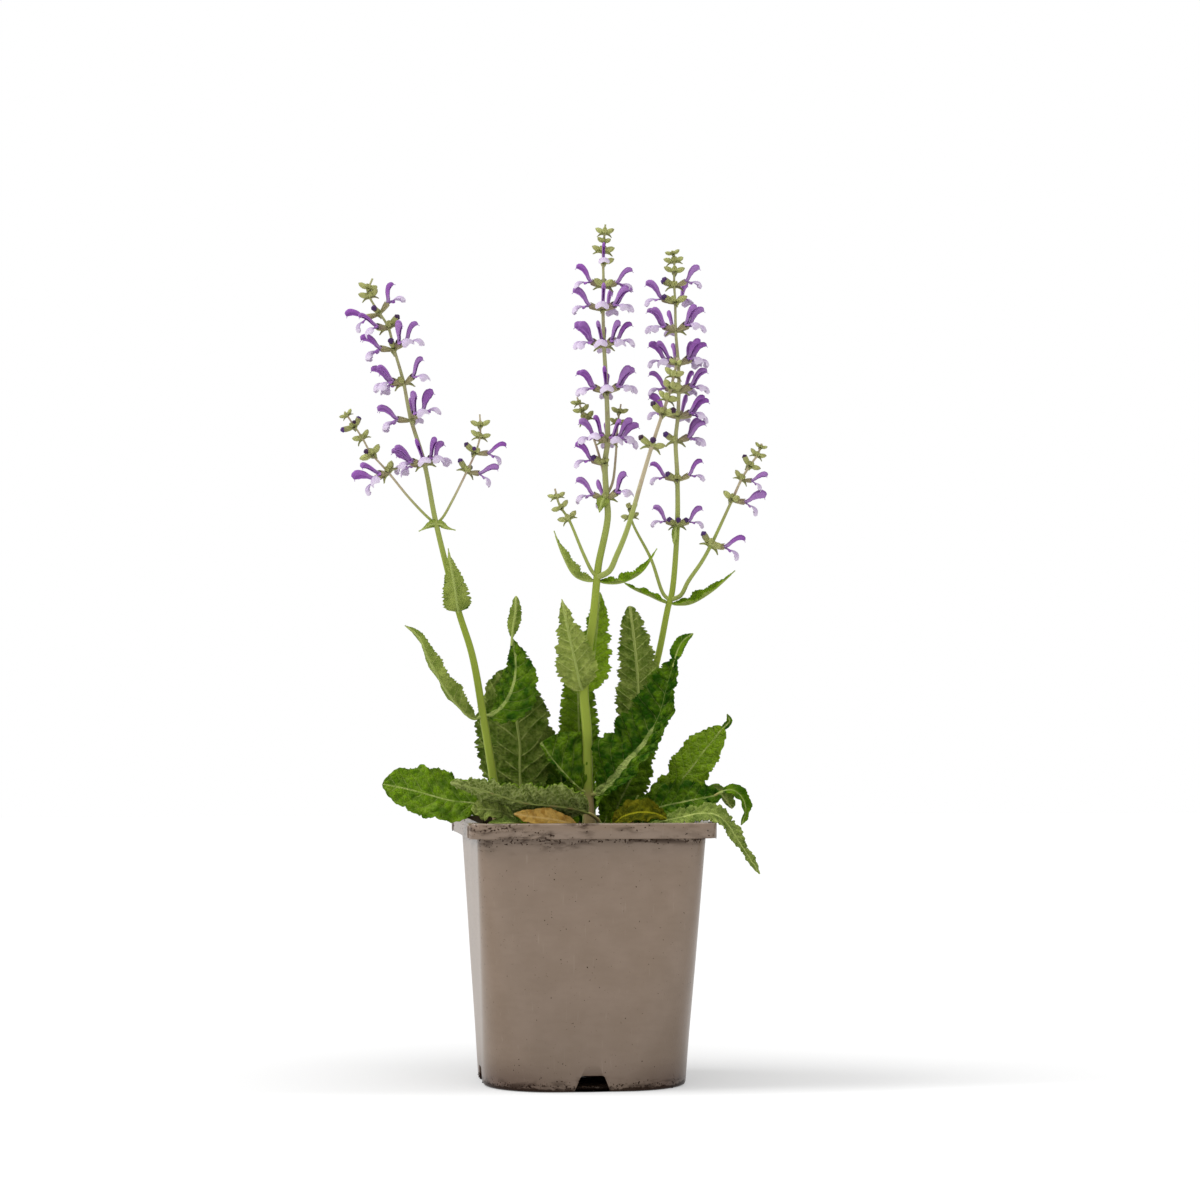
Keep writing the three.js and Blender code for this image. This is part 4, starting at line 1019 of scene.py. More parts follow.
class Lamina:
    """The blade of one leaf: toothed, lobed, frilled, and puckered between its veins.

    Everywhere 'v' runs from 0 to 1 along the blade and 'side' from -1 to 1 across it.
    """

    PITCH = (3.0, 0.12)       # distance between side veins, by the leaf's width
    PUCKER = (1.8, 0.018)     # width of a pucker
    RELIEF = (0.14, 0.02)     # depth of a pucker
    DEEPEST = 0.95
    BITE = (1.7, 0.045)       # distance between teeth
    BROAD = (18.0, 0.05)      # the width past which that grows faster, and how much
    TEETH = 0.62              # how much of a tooth's depth its rounded part takes
    SECOND_TEETH = 0.38       # and its smaller teeth
    RAKE = (0.62, 0.012)      # how far the side veins lean towards the tip

    def __init__(self, leaf: Leaf, route: Route, seed: int) -> None:
        """Works out the leaf's measures.

        Args:
            leaf: The leaf.
            route: Its spine.
            seed: What sets its puckers and teeth apart from another's.
        """
        self.leaf, self.route, self.seed = leaf, route, seed
        self.length = route.length * (1 - leaf.start)
        self.bite = grown(self.BITE, leaf.width) + self.BROAD[1] * max(leaf.width - self.BROAD[0], 0)
        self.relief = min(grown(self.RELIEF, leaf.width), self.DEEPEST) * leaf.rough
        self.row = lru_cache(maxsize=None)(self._row)
        self.spot = lru_cache(maxsize=None)(self._spot)

    def build(self, bm: BMesh) -> None:
        """Adds the blade to a mesh."""
        rows = max(int(ROW_DENSITY * self.length / self.leaf.fine), 8)
        columns = max(2 * int(self.leaf.width / self.leaf.fine / 2), 6)
        faces = patch(bm, columns, rows, self._place, self._chart, weld=False, net=self._net)
        thicken(bm, faces, BLADE, 1)

    def _noise(self, along: float, size: float, *other: float) -> float:
        """Gives smooth noise along the blade, with features of a size in millimetres."""
        return noise.noise((along / size, *other))

    def _row(self, v: float) -> tuple[Station, float, float, float]:
        """Gives the midrib's station, the half width, the edge's ripple and the distance along."""
        leaf = self.leaf
        here = leaf.station(self.route, lerp(leaf.start, 1, v))
        shape = outline(v, leaf.belly, leaf.blunt)
        ripple = leaf.wave * math.sin(v * leaf.steps * RIPPLE_TURN) * shape
        return here, leaf.width / 2 * shape, ripple, v * self.length

    def _half(self, v: float, side: float) -> float:
        """Gives the half width of one side with its teeth and the bays between its lobes.

        Args:
            v: The place along.
            side: The side, by its sign.

        Returns:
            The half width, in millimetres.
        """
        leaf, seed = self.leaf, self.seed
        _, full, _, along = self.row(v)
        hand = 5 * math.copysign(1, side)
        bite = along / self.bite + 1.1 * self._noise(along, 7, hand, seed)
        scallop = abs(math.sin(math.pi * bite)) ** 0.6
        nick = abs(math.sin(math.pi * (1.9 * bite + 0.7 * self._noise(along, 3, seed, hand + 9))))
        tooth = self.TEETH * scallop + self.SECOND_TEETH * nick
        depth = min(full * TOOTH, TOOTH_LIMIT) * (1 + 0.8 * self._noise(along, 4, seed, hand))
        bay = smooth(0.1, 0.6, abs(self._noise(along, 0.22 * leaf.width + 4, hand, seed + 3)))
        lobe = 1.05 - LOBE * min(leaf.jagged, 1.3) * bay
        part = leaf.left if side < 0 else leaf.right
        return max(full * lobe - depth * leaf.jagged * (1 - tooth), 0.3) * part

    def _spot(self, u: float, v: float) -> tuple[float, float, float, float]:
        """Measures a place on the blade.

        Args:
            u: From 0 to 1 across.
            v: From 0 to 1 along.

        Returns:
            The side, the distance out from the midrib, the count of side veins passed, and the distance from
            the edge of its pucker.
        """
        along = self.row(v)[3]
        side = 2 * u - 1
        out = abs(side) * self._half(v, side)
        bend = 0.5 * self._noise(along, 16, math.copysign(2, side), self.seed + 8)
        lean = self.RAKE[0] * out + self.RAKE[1] * out * out
        phase = (along - lean) / grown(self.PITCH, self.leaf.width) + bend
        cell = grown(self.PUCKER, self.leaf.width)
        near, second, *_ = noise.voronoi((along / cell, math.copysign(out, side) / cell, self.seed))[0]
        return side, out, phase, second - near

    def _place(self, u: float, v: float) -> Vector:
        """Gives the place of a corner: folded, rippled, frilled and puckered.

        Args:
            u: From 0 to 1 across.
            v: From 0 to 1 along.

        Returns:
            The place.
        """
        here, full, ripple, along = self.row(round(v, 6))
        side, out, phase, edge = self.spot(round(u, 6), round(v, 6))
        share, lift, relief = abs(side), math.radians(self.leaf.fold), self.relief
        sunk = 0.12 * full + 0.01
        rise = (math.hypot(out, sunk) - sunk) * math.sin(lift)
        window = smooth(0.03, 0.2, share) * (1 - 0.5 * smooth(0.8, 1.0, share)) * min(full / 4, 1)
        pucker = relief * (abs(math.sin(math.pi * phase)) ** 0.75 - 0.6) * window
        crease = 0.9 * relief * (min(edge, 0.4) - 0.2) * window
        sway = -ripple * math.copysign(share**1.6, side)
        hand = math.copysign(3, side)
        frill = self._noise(along, 4.5, hand, self.seed) * share**3
        frill += 0.8 * self._noise(along, 14, hand, self.seed)
        frill *= (0.5 + 0.5 * self.leaf.wave) * self.leaf.rough * min(full / 8, 1) * share
        height = rise + pucker + crease + sway + frill
        return here.p + here.s * math.copysign(out * math.cos(lift), side) + here.n * height

    def _chart(self, u: float, v: float) -> Chart:
        """Gives a corner's coordinates: 'form' counts side veins and runs across, 'lamina' is in millimetres.

        Args:
            u: From 0 to 1 across.
            v: From 0 to 1 along.

        Returns:
            The coordinates.
        """
        side, out, phase, _ = self.spot(round(u, 6), round(v, 6))
        near = max(out - self.leaf.band * (1 - v) ** 1.5, 0.05 * out)
        near += 1.2 * smooth(self.leaf.fades, self.leaf.fades + 0.08, v)
        return (phase, u), (self.row(round(v, 6))[3] + 37 * self.seed, math.copysign(near, side))

    def _net(self, u: float, v: float) -> float:
        """Gives how much of a vein of the net runs at a corner, from 0 to 1."""
        edge = self.spot(round(u, 6), round(v, 6))[3]
        return (1 - smooth(0.02, 0.22, edge)) * smooth(4, 30, self.leaf.width)


# ---------------------------------------------------------------- flowers, buds and bracts


class FlowerForms:
    """The forms that are repeated up the stems, in millimetres: x out from the stem, z up along it."""

    def __init__(self) -> None:
        """Builds each form once."""
        self.calyx = self._calyx()
        self.corollas = [self._corolla(spread) for spread in (0.8, 1.0, 1.1, 1.4)]
        self.bud = self._bud(True)
        self.young = self._bud(False)
        self.bract = self._bract()

    def forms(self) -> list[bpy.types.Mesh]:
        """Lists the forms."""
        return [self.calyx, *self.corollas, self.bud, self.young, self.bract]

    @staticmethod
    def _on(route: Route, share: float) -> Station:
        """Gives the station on a route that lies in the form's own upright plane."""
        spot, heading = route.at(share)
        return Station.facing(spot, heading, UP)

    @classmethod
    def _bell(cls, bm: BMesh, route: Route, stops: Sequence[Span], sides: int) -> None:
        """Adds a ribbed thin-walled bell with a broad upper tooth and two lower ones, open at its mouth.

        Args:
            bm: The mesh that the bell joins.
            route: Its middle line, from its foot to its mouth.
            stops: Its radius along that line.
            sides: Faces round it.
        """
        mouth, wall = 0.7, 0.3

        def place(u: float, v: float) -> Vector:
            """Goes out along the bell to its mouth, and part of the way back inside."""
            turn = 2 * math.pi * (u % 1.0)
            inner = v > mouth
            along = 1 - (v - mouth) / (1 - mouth) * 0.6 if inner else v / mouth
            here = cls._on(route, along * 0.88)
            if v < 0.01 or v > 0.99:
                return here.p.copy()
            radius = profile(stops, along) * (1 + 0.05 * math.cos(12 * turn)) - (wall if inner else 0)
            lower = max(-math.sin(turn), 0.0)
            tooth = 1.5 * abs(math.cos(turn)) ** 3 * lower**0.5 + 0.9 * max(math.sin(turn), 0.0) ** 4
            ring = here.s * math.cos(turn) * 0.9 + here.n * math.sin(turn)
            return here.p + ring * radius + here.t * tooth * 1.1 * smooth(0.75, 1.0, along)

        start = len(bm.faces)
        patch(bm, sides, 10, place)
        bm.faces.ensure_lookup_table()
        bmesh.ops.recalc_face_normals(bm, faces=bm.faces[start:])

    def _calyx(self) -> bpy.types.Mesh:
        """Builds an open flower's calyx."""
        bm = blank()
        route = Route(((-0.3, 0, -1.0), (2.2, 0, -0.3), (5.2, 0, 1.0), (8.4, 0, 2.4)))
        self._bell(bm, route, ((0, 0.35), (0.12, 0.9), (0.45, 1.4), (0.8, 1.85), (1, 1.95)), 24)
        return mesh_of(bm, "form_calyx")

    def _corolla(self, spread: float) -> bpy.types.Mesh:
        """Builds an open flower: the hood takes finish 0 and the lips finish 1.

        Args:
            spread: How much higher than usual the hood's sides are.

        Returns:
            The form.
        """
        bm = blank()
        self._hood(bm, spread)
        self._lip(bm)
        for side in (-1, 1):
            self._side_lobe(bm, side)
        self._style(bm)
        return mesh_of(bm, "form_corolla")

    def _hood(self, bm: BMesh, spread: float) -> None:
        """Adds the arched upper lip: a sheet folded like a saddle, open below, with a blunt end.

        Args:
            bm: The mesh that it joins.
            spread: How much higher than usual its sides are.
        """
        route = Route((
            (4.5, 0, 0.8), (7.8, 0, 2.2), (9.5, 0, 4.0), (11.1, 0, 7.0), (13.2, 0, 9.9), (15.6, 0, 11.2),
            (18.0, 0, 10.6),
        ))
        high = ((0, 0.8), (0.2, 1.05), (0.4, 1.3), (0.62, 1.9), (0.84, 2.45), (0.96, 1.7), (1, 0.8))
        wide = ((0, 0.8), (0.2, 1.05), (0.5, 1.1), (0.85, 1.3), (0.96, 1.0), (1, 0.4))
        mouth = ((0, 0.05), (0.3, 0.15), (0.5, 0.6), (1, 0.75))     # half the fold's gape below, in radians
        thick, outside = 0.35, 0.6

        def place(u: float, v: float) -> Vector:
            """Goes round the outside of the fold and back along its inside."""
            here = self._on(route, v)
            if v < 0.01 or v > 0.99:
                return here.p.copy()
            gape = profile(mouth, v)
            outer = u < outside
            share = u / outside if outer else (1 - u) / (1 - outside)
            turn = lerp(-math.pi / 2 + gape, 1.5 * math.pi - gape, share)
            skin = 0.0 if outer else thick
            w, h = profile(wide, v) - skin, profile(high, v) * lerp(1, spread, smooth(0.3, 0.7, v)) - skin
            return here.p - here.s * max(w, 0.1) * math.cos(turn) + here.n * max(h, 0.1) * math.sin(turn)

        start = len(bm.faces)
        patch(bm, 20, 18, place)
        bm.faces.ensure_lookup_table()
        bmesh.ops.recalc_face_normals(bm, faces=bm.faces[start:])

    def _lip(self, bm: BMesh) -> None:
        """Adds the lower lip: a narrow neck that widens into a broad notched lobe with hanging sides."""
        route = Route((
            (6.8, 0, 1.4), (9.4, 0, 1.7), (11.4, 0, 1.7), (13.4, 0, 2.1), (15.8, 0, 2.1), (17.6, 0, 1.1),
            (18.5, 0, -0.8), (18.9, 0, -2.6),
        ))
        wide = ((0, 0.9), (0.24, 0.9), (0.38, 1.3), (0.52, 3.4), (0.7, 5.0), (0.92, 4.9), (1, 3.6))
        bow = ((0, 1.2), (0.4, 1.0), (0.6, 1.2), (1, 1.0))          # how far each side turns down, in radians

        def place(u: float, v: float) -> Vector:
            """Bows the sheet down on both sides, with a frilled edge."""
            side = 2 * u - 1
            notch = 0.08 * smooth(0.75, 1.0, v) * (1 - abs(side)) ** 1.5
            here = self._on(route, v - notch)
            half = profile(wide, v)
            turn = side * profile(bow, v)
            radius = half / profile(bow, v)
            frill = 0.45 * smooth(0.5, 0.8, v) * abs(side) ** 2 * math.sin(v * 23 + 2 * side)
            drop = radius * (1 - math.cos(turn)) - frill
            return here.p + here.s * radius * math.sin(turn) - here.n * drop

        thicken(bm, patch(bm, 12, 14, place, material=1, weld=False), 0.4, 1)

    def _side_lobe(self, bm: BMesh, side: int) -> None:
        """Adds one of the two small lobes beside the throat, at the side 1 or -1."""
        route = Route(((8.6, side * 0.7, 2.0), (10.6, side * 1.6, 1.8), (12.2, side * 3.0, 0.6)))
        wide = ((0, 0.5), (0.5, 1.3), (0.85, 1.2), (1, 0.4))

        def place(u: float, v: float) -> Vector:
            """Lays the lobe flat across its route."""
            here = self._on(route, v)
            return here.p + here.s * (2 * u - 1) * profile(wide, v)

        thicken(bm, patch(bm, 4, 6, place, weld=False), 0.35, 0)

    def _style(self, bm: BMesh) -> None:
        """Adds the short thread that shows at the hood's tip."""
        route = Route(((15.5, 0, 10.2), (17.6, 0, 10.2), (18.5, 0, 9.4)))
        tube(bm, 5, 4, partial(self._on, route), lambda share, _: lerp(0.24, 0.18, share))

    def _bud(self, ripe: bool) -> bpy.types.Mesh:
        """Builds a closed bud.

        Args:
            ripe: Whether the folded petals show at the mouth. They take finish 1.

        Returns:
            The form.
        """
        bm = blank()
        calyx = Route(((-0.5, 0, 0), (1.8, 0, 0.5), (4.6, 0, 1.8), (7.4, 0, 3.2)))
        if ripe:
            petals = Route(((4.0, 0, 1.6), (6.6, 0, 2.9), (9.0, 0, 3.9)))
            tip = ((0, 1.2), (0.45, 1.6), (0.75, 2.0), (0.92, 1.5), (1, 0.5))
            self._bell(bm, calyx, ((0, 0.4), (0.2, 1.2), (0.6, 1.85), (0.9, 1.95), (1, 1.8)), 16)
            cone = partial(profile, tip)
            tube(bm, 8, 4, partial(self._on, petals), lambda share, _: cone(share), material=1)
            return mesh_of(bm, "form_bud")
        closed = ((0, 0.5), (0.2, 1.3), (0.55, 2.05), (0.8, 1.6), (1, 0.3))

        def radius(share: float, turn: float) -> float:
            """Gives the ribbed bud's radius."""
            return profile(closed, share) * (1 + 0.08 * math.cos(6 * turn))

        tube(bm, 12, 6, partial(self._on, calyx), radius)
        return mesh_of(bm, "form_young")

    @staticmethod
    def _bract() -> bpy.types.Mesh:
        """Builds a small pointed bract that stands out below a whorl."""
        bm = blank()
        leaf = Leaf(
            spine=((0.2, 0, -0.4), (2.4, 0, 0.1), (5.0, 0, -0.6), (7.0, 0, -2.0)),
            width=4.6, up=(0.3, 0, 1), start=0.02, belly=0.28, blunt=1.3, fold=22, wave=0.2, steps=4,
            petiole=0.5, fine=0.75,
        )
        leaf.build(bm, 3)
        return mesh_of(bm, "form_bract")


@dataclass(frozen=True)
class Whorl:
    """Flowers and buds round a stem: compass angles, 0 to the right and 90 away."""

    z: float
    open: tuple[float, ...] = ()
    buds: tuple[float, ...] = ()
    size: float = 1.0


@dataclass(frozen=True)
class Spray:
    """A stalk with its whorls."""

    places: tuple[Point, ...]
    foot: float
    tip: float
    whorls: tuple[Whorl, ...]
    rooted: bool = False

    def build(self, bm: BMesh, route: Route) -> None:
        """Adds the stalk, square with a groove down each side and a swelling at each whorl.

        Args:
            bm: The mesh that it joins.
            route: Its middle line.
        """
        peg = PEG if self.rooted else 0.0
        total = route.length + peg
        knots = [route.share_at_height(whorl.z) for whorl in self.whorls]

        def station(along: float) -> Station:
            """Follows the route, from straight down in the soil."""
            goal = along * total - peg
            if goal < 0:
                return Station.facing(Vector(self.places[0]) + UP * goal, UP, AWAY)
            return Station.facing(*route.at(goal / route.length), AWAY)

        def radius(along: float, turn: float) -> float:
            """Gives the radius of the grooved square, swollen near a whorl."""
            share = max(along * total - peg, 0) / route.length
            near = min((abs(share - knot) for knot in knots), default=1.0) * route.length
            swell = 1 + 0.18 * math.exp(-((near / 2.2) ** 2))
            square = 0.76 + 0.2 * abs(math.sin(2 * turn)) ** 1.4
            return lerp(self.foot, self.tip, share) * square * swell

        tube(bm, 16, max(int(total / 1.8), 8), station, radius, material=0 if self.rooted else 1)


FILLERS = (250, 290, 90, 60, 120)       # angles at which a small bud may fill a gap in a whorl
FILLER_ROOM = 32                        # degrees that it needs on either side


@dataclass(frozen=True)
class FloweringStem:
    """A flowering stem: its main stalk first, then its branches, and the leaves on it."""

    node: str
    sprays: tuple[Spray, ...]
    leaves: tuple[Leaf, ...]
    rng: random.Random = field(default_factory=lambda: random.Random(SEED), compare=False)

    def build(self, forms: FlowerForms, finishes: Finishes) -> None:
        """Shows the stem as its stalks, leaves, bracts, calyces, corollas and buds.

        Args:
            forms: The forms that its whorls repeat.
            finishes: The finishes.
        """
        parts = {
            "stalks": (Slot.GREEN, [finishes.stalk, finishes.branch]),
            "leaves": (Slot.GREEN, finishes.leaf[Look.GREEN]),
            "bracts": (Slot.GREEN, [finishes.bud_calyx, finishes.bud_calyx, finishes.stalk]),
            "calyces": (Slot.FLOWERS, [finishes.calyx]),
            "corollas": (Slot.FLOWERS, [finishes.hood, finishes.lip]),
            "buds": (Slot.FLOWERS, [finishes.bud_calyx, finishes.bud]),
            "young_buds": (Slot.GREEN, [finishes.young]),
        }
        meshes = {name: blank() for name in parts}
        for spray in self.sprays:
            route = Route(spray.places)
            spray.build(meshes["stalks"], route)
            for number, whorl in enumerate(spray.whorls):
                self._whorl(whorl, number, *route.at(route.share_at_height(whorl.z)), forms, meshes)
        for number, leaf in enumerate(self.leaves):
            leaf.build(meshes["leaves"], 5 + number)
        for name, (slot, dressed) in parts.items():
            show(meshes[name], f"{self.node}_{name}", slot, dressed, {self.node})

    def _whorl(
        self,
        whorl: Whorl,
        number: int,
        place: Vector,
        heading: Vector,
        forms: FlowerForms,
        meshes: dict[str, BMesh],
    ) -> None:
        """Adds one whorl's flowers, buds and bracts, with small buds where there is room.

        Args:
            whorl: The whorl.
            number: Its number up the stalk. Each pair of bracts stands crosswise to the last.
            place: The middle of the stalk there.
            heading: The way the stalk runs.
            forms: The forms.
            meshes: The stem's meshes, by the names of its parts.
        """

        def close(matrix: Matrix, ripe: bool) -> None:
            """Adds a bud, ripe or young."""
            form, part = (forms.bud, "buds") if ripe else (forms.young, "young_buds")
            stamp(meshes[part], form, matrix, self.rng.random())

        for angle in whorl.open:
            shade = self.rng.random()
            matrix = self._pose(place, heading, angle, whorl.size, self.rng.uniform(-4, 4))
            stamp(meshes["corollas"], self.rng.choice(forms.corollas), matrix, shade)
            stamp(meshes["calyces"], forms.calyx, matrix, self.rng.random())
        top = whorl.size < 0.82
        for angle in whorl.buds:
            size = whorl.size * (1.1 if top else 1)
            matrix = self._pose(place, heading, angle, size, self.rng.uniform(-6, 6))
            close(matrix, not top and self.rng.random() < 0.5)
        taken = [*whorl.open, *whorl.buds]
        for angle in FILLERS:
            clear = min((abs((angle - other + 180) % 360 - 180) for other in taken), default=180)
            if clear < FILLER_ROOM or len(taken) > 4:
                continue
            taken.append(angle)
            size = whorl.size * self.rng.uniform(0.68, 0.85)
            matrix = self._pose(place, heading, angle, size, self.rng.uniform(-6, 10))
            close(matrix, not top and self.rng.random() < 0.15)
        for angle in (0, 180):
            turn = angle + 90 * (number % 2) + self.rng.uniform(-12, 12)
            below = place - heading * 1.2 * whorl.size
            matrix = self._pose(below, heading, turn, whorl.size * 0.95, self.rng.uniform(-10, 6))
            stamp(meshes["bracts"], forms.bract, matrix, self.rng.random())

    def _pose(self, place: Vector, heading: Vector, angle: float, size: float, nod: float) -> Matrix:
        """Gives where a form goes at a compass angle round a stem.

        Args:
            place: The middle of the stem.
            heading: The way the stem runs.
            angle: Compass angle, in degrees.
            size: How large the copy is.
            nod: Degrees by which it tips up.

        Returns:
            The matrix of the copy.
        """
        out = Vector((math.cos(math.radians(angle)), math.sin(math.radians(angle)), 0))
        out = (out - heading * out.dot(heading)).normalized()
        axes = Matrix((out, heading.cross(out), heading)).transposed().to_4x4()
        roll = Euler((math.radians(self.rng.uniform(-9, 9)), math.radians(-nod), 0)).to_matrix().to_4x4()
        return Matrix.Translation(place) @ axes @ roll @ Matrix.Scale(size, 4)


# ---------------------------------------------------------------- container and soil


def square_spot(u: float, half: float, corner: float) -> Span:
    """Gives a place on a square ring with round corners, anticlockwise from above.

    Args:
        u: From 0 to 1 round the ring.
        half: Half its width.
        corner: The radius of its corners.

    Returns:
        Its two coordinates.
    """
    quarter, share = divmod((u % 1.0) * 4, 1)
    turn = quarter * math.pi / 2
    if share < 0.5:
        a = share * math.pi
        x, y = half - corner + corner * math.cos(a), half - corner + corner * math.sin(a)
    else:
        x, y = lerp(half - corner, corner - half, (share - 0.5) * 2), half
    return x * math.cos(turn) - y * math.sin(turn), x * math.sin(turn) + y * math.cos(turn)


@dataclass(frozen=True)
class Container:
    """The square nursery container, nearly round at its foot, and the peat that clings to it."""

    height: float = 156.0
    rim_half: float = 72.5
    rim_corner: float = 9.0
    rim_skirt: float = 9.0        # how far its folded rim hangs down
    rim_overhang: float = 5.0
    rim_edge: float = 0.8
    foot_half: float = 60.0
    foot_corner: float = 42.0
    foot_chamfer: float = 1.5
    wall: float = 1.6
    floor: float = 2.2
    fillet: float = 0.45          # of its smaller edges
    bulge: float = 0.35           # how far its wall bows in and out
    outer: tuple[float, ...] = (4, 9, 16, 30, 50, 75, 100, 125, 140)      # heights of the rings of its wall
    inner: tuple[float, ...] = (150, 136, 60)
    rib: Point = (1.0, 0.9, 7.0)
    rib_pitch: float = 2.4
    rib_count: int = 4
    notch_foot: float = 22.0
    notch_top: float = 13.5
    notch_height: float = 9.5
    notch_depth: float = 13.0
    notch_corner: float = 1.2
    foot_crumbs: int = 90
    rim_crumbs: int = 46
    skirt_crumbs: int = 40
    squash: tuple[Span, ...] = ((0.7, 1.3), (0.7, 1.3), (0.5, 0.9))     # of the crumbs, along each axis
    rng: random.Random = field(default_factory=lambda: random.Random(SEED + 1), compare=False)

    def build(self, finishes: Finishes) -> None:
        """Shows the container and the crumbs on it."""
        shell = blank()
        self._shell(shell)
        for place in self._ribs():
            box(shell, self.rib, place)
        piece = show(shell, "pot_shell", Slot.PLASTIC, [finishes.plastic], {"pot"}, TO_METRES)
        for number in range(4):
            self._notch(piece, number * math.pi / 2)
        crumbs = blank()
        for place, size in self._crumbs():
            squash = tuple(self.rng.uniform(*span) for span in self.squash)
            crumb(crumbs, size, squash, place)
        show(crumbs, "pot_crumbs", Slot.SOIL, [finishes.soil], {"pot"}, TO_METRES)

    def wall_at(self, z: float, inset: float = 0.0) -> Ring:
        """Gives the ring of the tapering wall at a height.

        Args:
            z: The height.
            inset: How far it lies inside the outer face.

        Returns:
            The ring.
        """
        share = z / self.height
        half = lerp(self.foot_half, self.rim_half - self.rim_overhang, share) - inset
        return half, max(lerp(self.foot_corner, self.rim_corner, share) - inset, 2.0), z

    def _rings(self) -> list[Ring]:
        """Lists the rings of the skin from the middle of the underside to the middle of the floor."""
        edge, rim = self.fillet, self.rim_half
        under, skirt = self.height - self.wall, self.height - self.rim_skirt
        inner, corner = rim - self.wall, self.rim_corner - self.wall
        foot, foot_corner = self.foot_half - self.foot_chamfer, self.foot_corner - self.foot_chamfer
        chamfer = self.foot_chamfer - self.fillet
        arris = 0.25
        return [
            (0.001, 0.001, 0),
            (foot * 0.5, self.foot_corner * 0.5, 0),
            (foot, foot_corner, 0),
            (foot + chamfer, foot_corner + chamfer, edge),
            *(self.wall_at(z) for z in (self.foot_chamfer, *self.outer, under)),
            (inner, corner, under),
            (inner, corner, skirt + edge),
            (inner + edge, corner + edge, skirt),
            (rim - edge, self.rim_corner - edge, skirt),
            (rim, self.rim_corner, skirt + edge),
            (rim, self.rim_corner, self.height - self.rim_edge),
            (rim - arris, self.rim_corner - arris, self.height - arris),
            (rim - self.rim_edge, self.rim_corner - self.rim_edge, self.height),
            self.wall_at(self.height, self.wall - edge),
            *(self.wall_at(z, self.wall) for z in (self.height - edge, *self.inner, self.floor)),
            (0.001, 0.001, self.floor),
        ]

    def _shell(self, bm: BMesh) -> None:
        """Adds the moulded skin."""
        rings = self._rings()

        def place(u: float, v: float) -> Vector:
            """Places a corner on its ring, with the wall's slight bow."""
            half, corner, z = rings[round(v * (len(rings) - 1))]
            x, y = square_spot(u, half, corner)
            bow = self.bulge * noise.noise((x / 40, y / 40, z / 50)) * smooth(2, 30, z)
            size = math.hypot(x, y) or 1.0
            return Vector((x * (1 + bow / size), y * (1 + bow / size), z))

        patch(bm, 96, len(rings) - 1, place)

    def _ribs(self) -> list[Point]:
        """Lists the middles of the upright ribs on the skirt beside two of its corners."""
        z = self.height - self.rim_skirt / 2 - 0.4
        first = self.rim_half - self.rim_corner
        across = [first - self.rib_pitch * k for k in range(self.rib_count)]
        return [(-self.rim_half, side * y, z) for side in (-1, 1) for y in across]

    def _notch(self, piece: bpy.types.Object, turn: float) -> None:
        """Cuts a drain notch through the wall and the edge of the floor.

        Args:
            piece: The container.
            turn: How far round it is, in radians.
        """
        bm = bmesh.new()
        for vert in bmesh.ops.create_cube(bm, size=1.0)["verts"]:
            low = vert.co.z < 0
            vert.co.x *= self.notch_foot if low else self.notch_top
            vert.co.y = (vert.co.y + 0.5) * self.notch_depth - self.foot_half - 2
            vert.co.z = -1 if low else self.notch_height
        top = [edge for edge in bm.edges if all(vert.co.z > 0 for vert in edge.verts)]
        along = [edge for edge in top if abs(edge.verts[0].co.y - edge.verts[1].co.y) > 1]
        bmesh.ops.bevel(
            bm, geom=along, offset=self.notch_corner, offset_type="OFFSET", affect="EDGES", segments=3,
            profile=0.5, material=-1,
        )
        bmesh.ops.transform(bm, matrix=TO_METRES @ Matrix.Rotation(turn, 4, "Z"), verts=bm.verts)
        cutter = bpy.data.objects.new("notch_cutter", mesh_of(bm, "notch_cutter"))
        bpy.context.scene.collection.objects.link(cutter)
        cut = piece.modifiers.new("notch", "BOOLEAN")
        cut.operation, cut.solver, cut.object = "DIFFERENCE", "EXACT", cutter
        graph = bpy.context.evaluated_depsgraph_get()
        whole = bpy.data.meshes.new_from_object(piece.evaluated_get(graph))
        piece.modifiers.clear()
        piece.data = whole
        bpy.data.objects.remove(cutter)

    def _crumbs(self) -> list[tuple[Vector, float]]:
        """Lists the places and sizes of crumbs of peat along the foot, on the rim and on its skirt."""
        made = []
        for _ in range(self.foot_crumbs):
            half, corner, z = self.wall_at(self.rng.uniform(0.3, 2.5) ** 1.5)
            x, y = square_spot(self.rng.random(), half, corner)
            made.append((Vector((x, y, z + 0.3)), self.rng.uniform(0.2, 0.6)))
        for _ in range(self.rim_crumbs):
            x, y = square_spot(self.rng.random(), self.rim_half - 1.2, self.rim_corner)
            made.append((Vector((x, y, self.height + 0.1)), self.rng.uniform(0.2, 0.55)))
        for _ in range(self.skirt_crumbs):
            x, y = square_spot(self.rng.random(), self.rim_half + 0.05, self.rim_corner)
            z = self.height - self.rng.choice((self.rng.uniform(1, 8), self.rim_skirt))
            made.append((Vector((x, y, z)), self.rng.uniform(0.15, 0.45)))
        return made


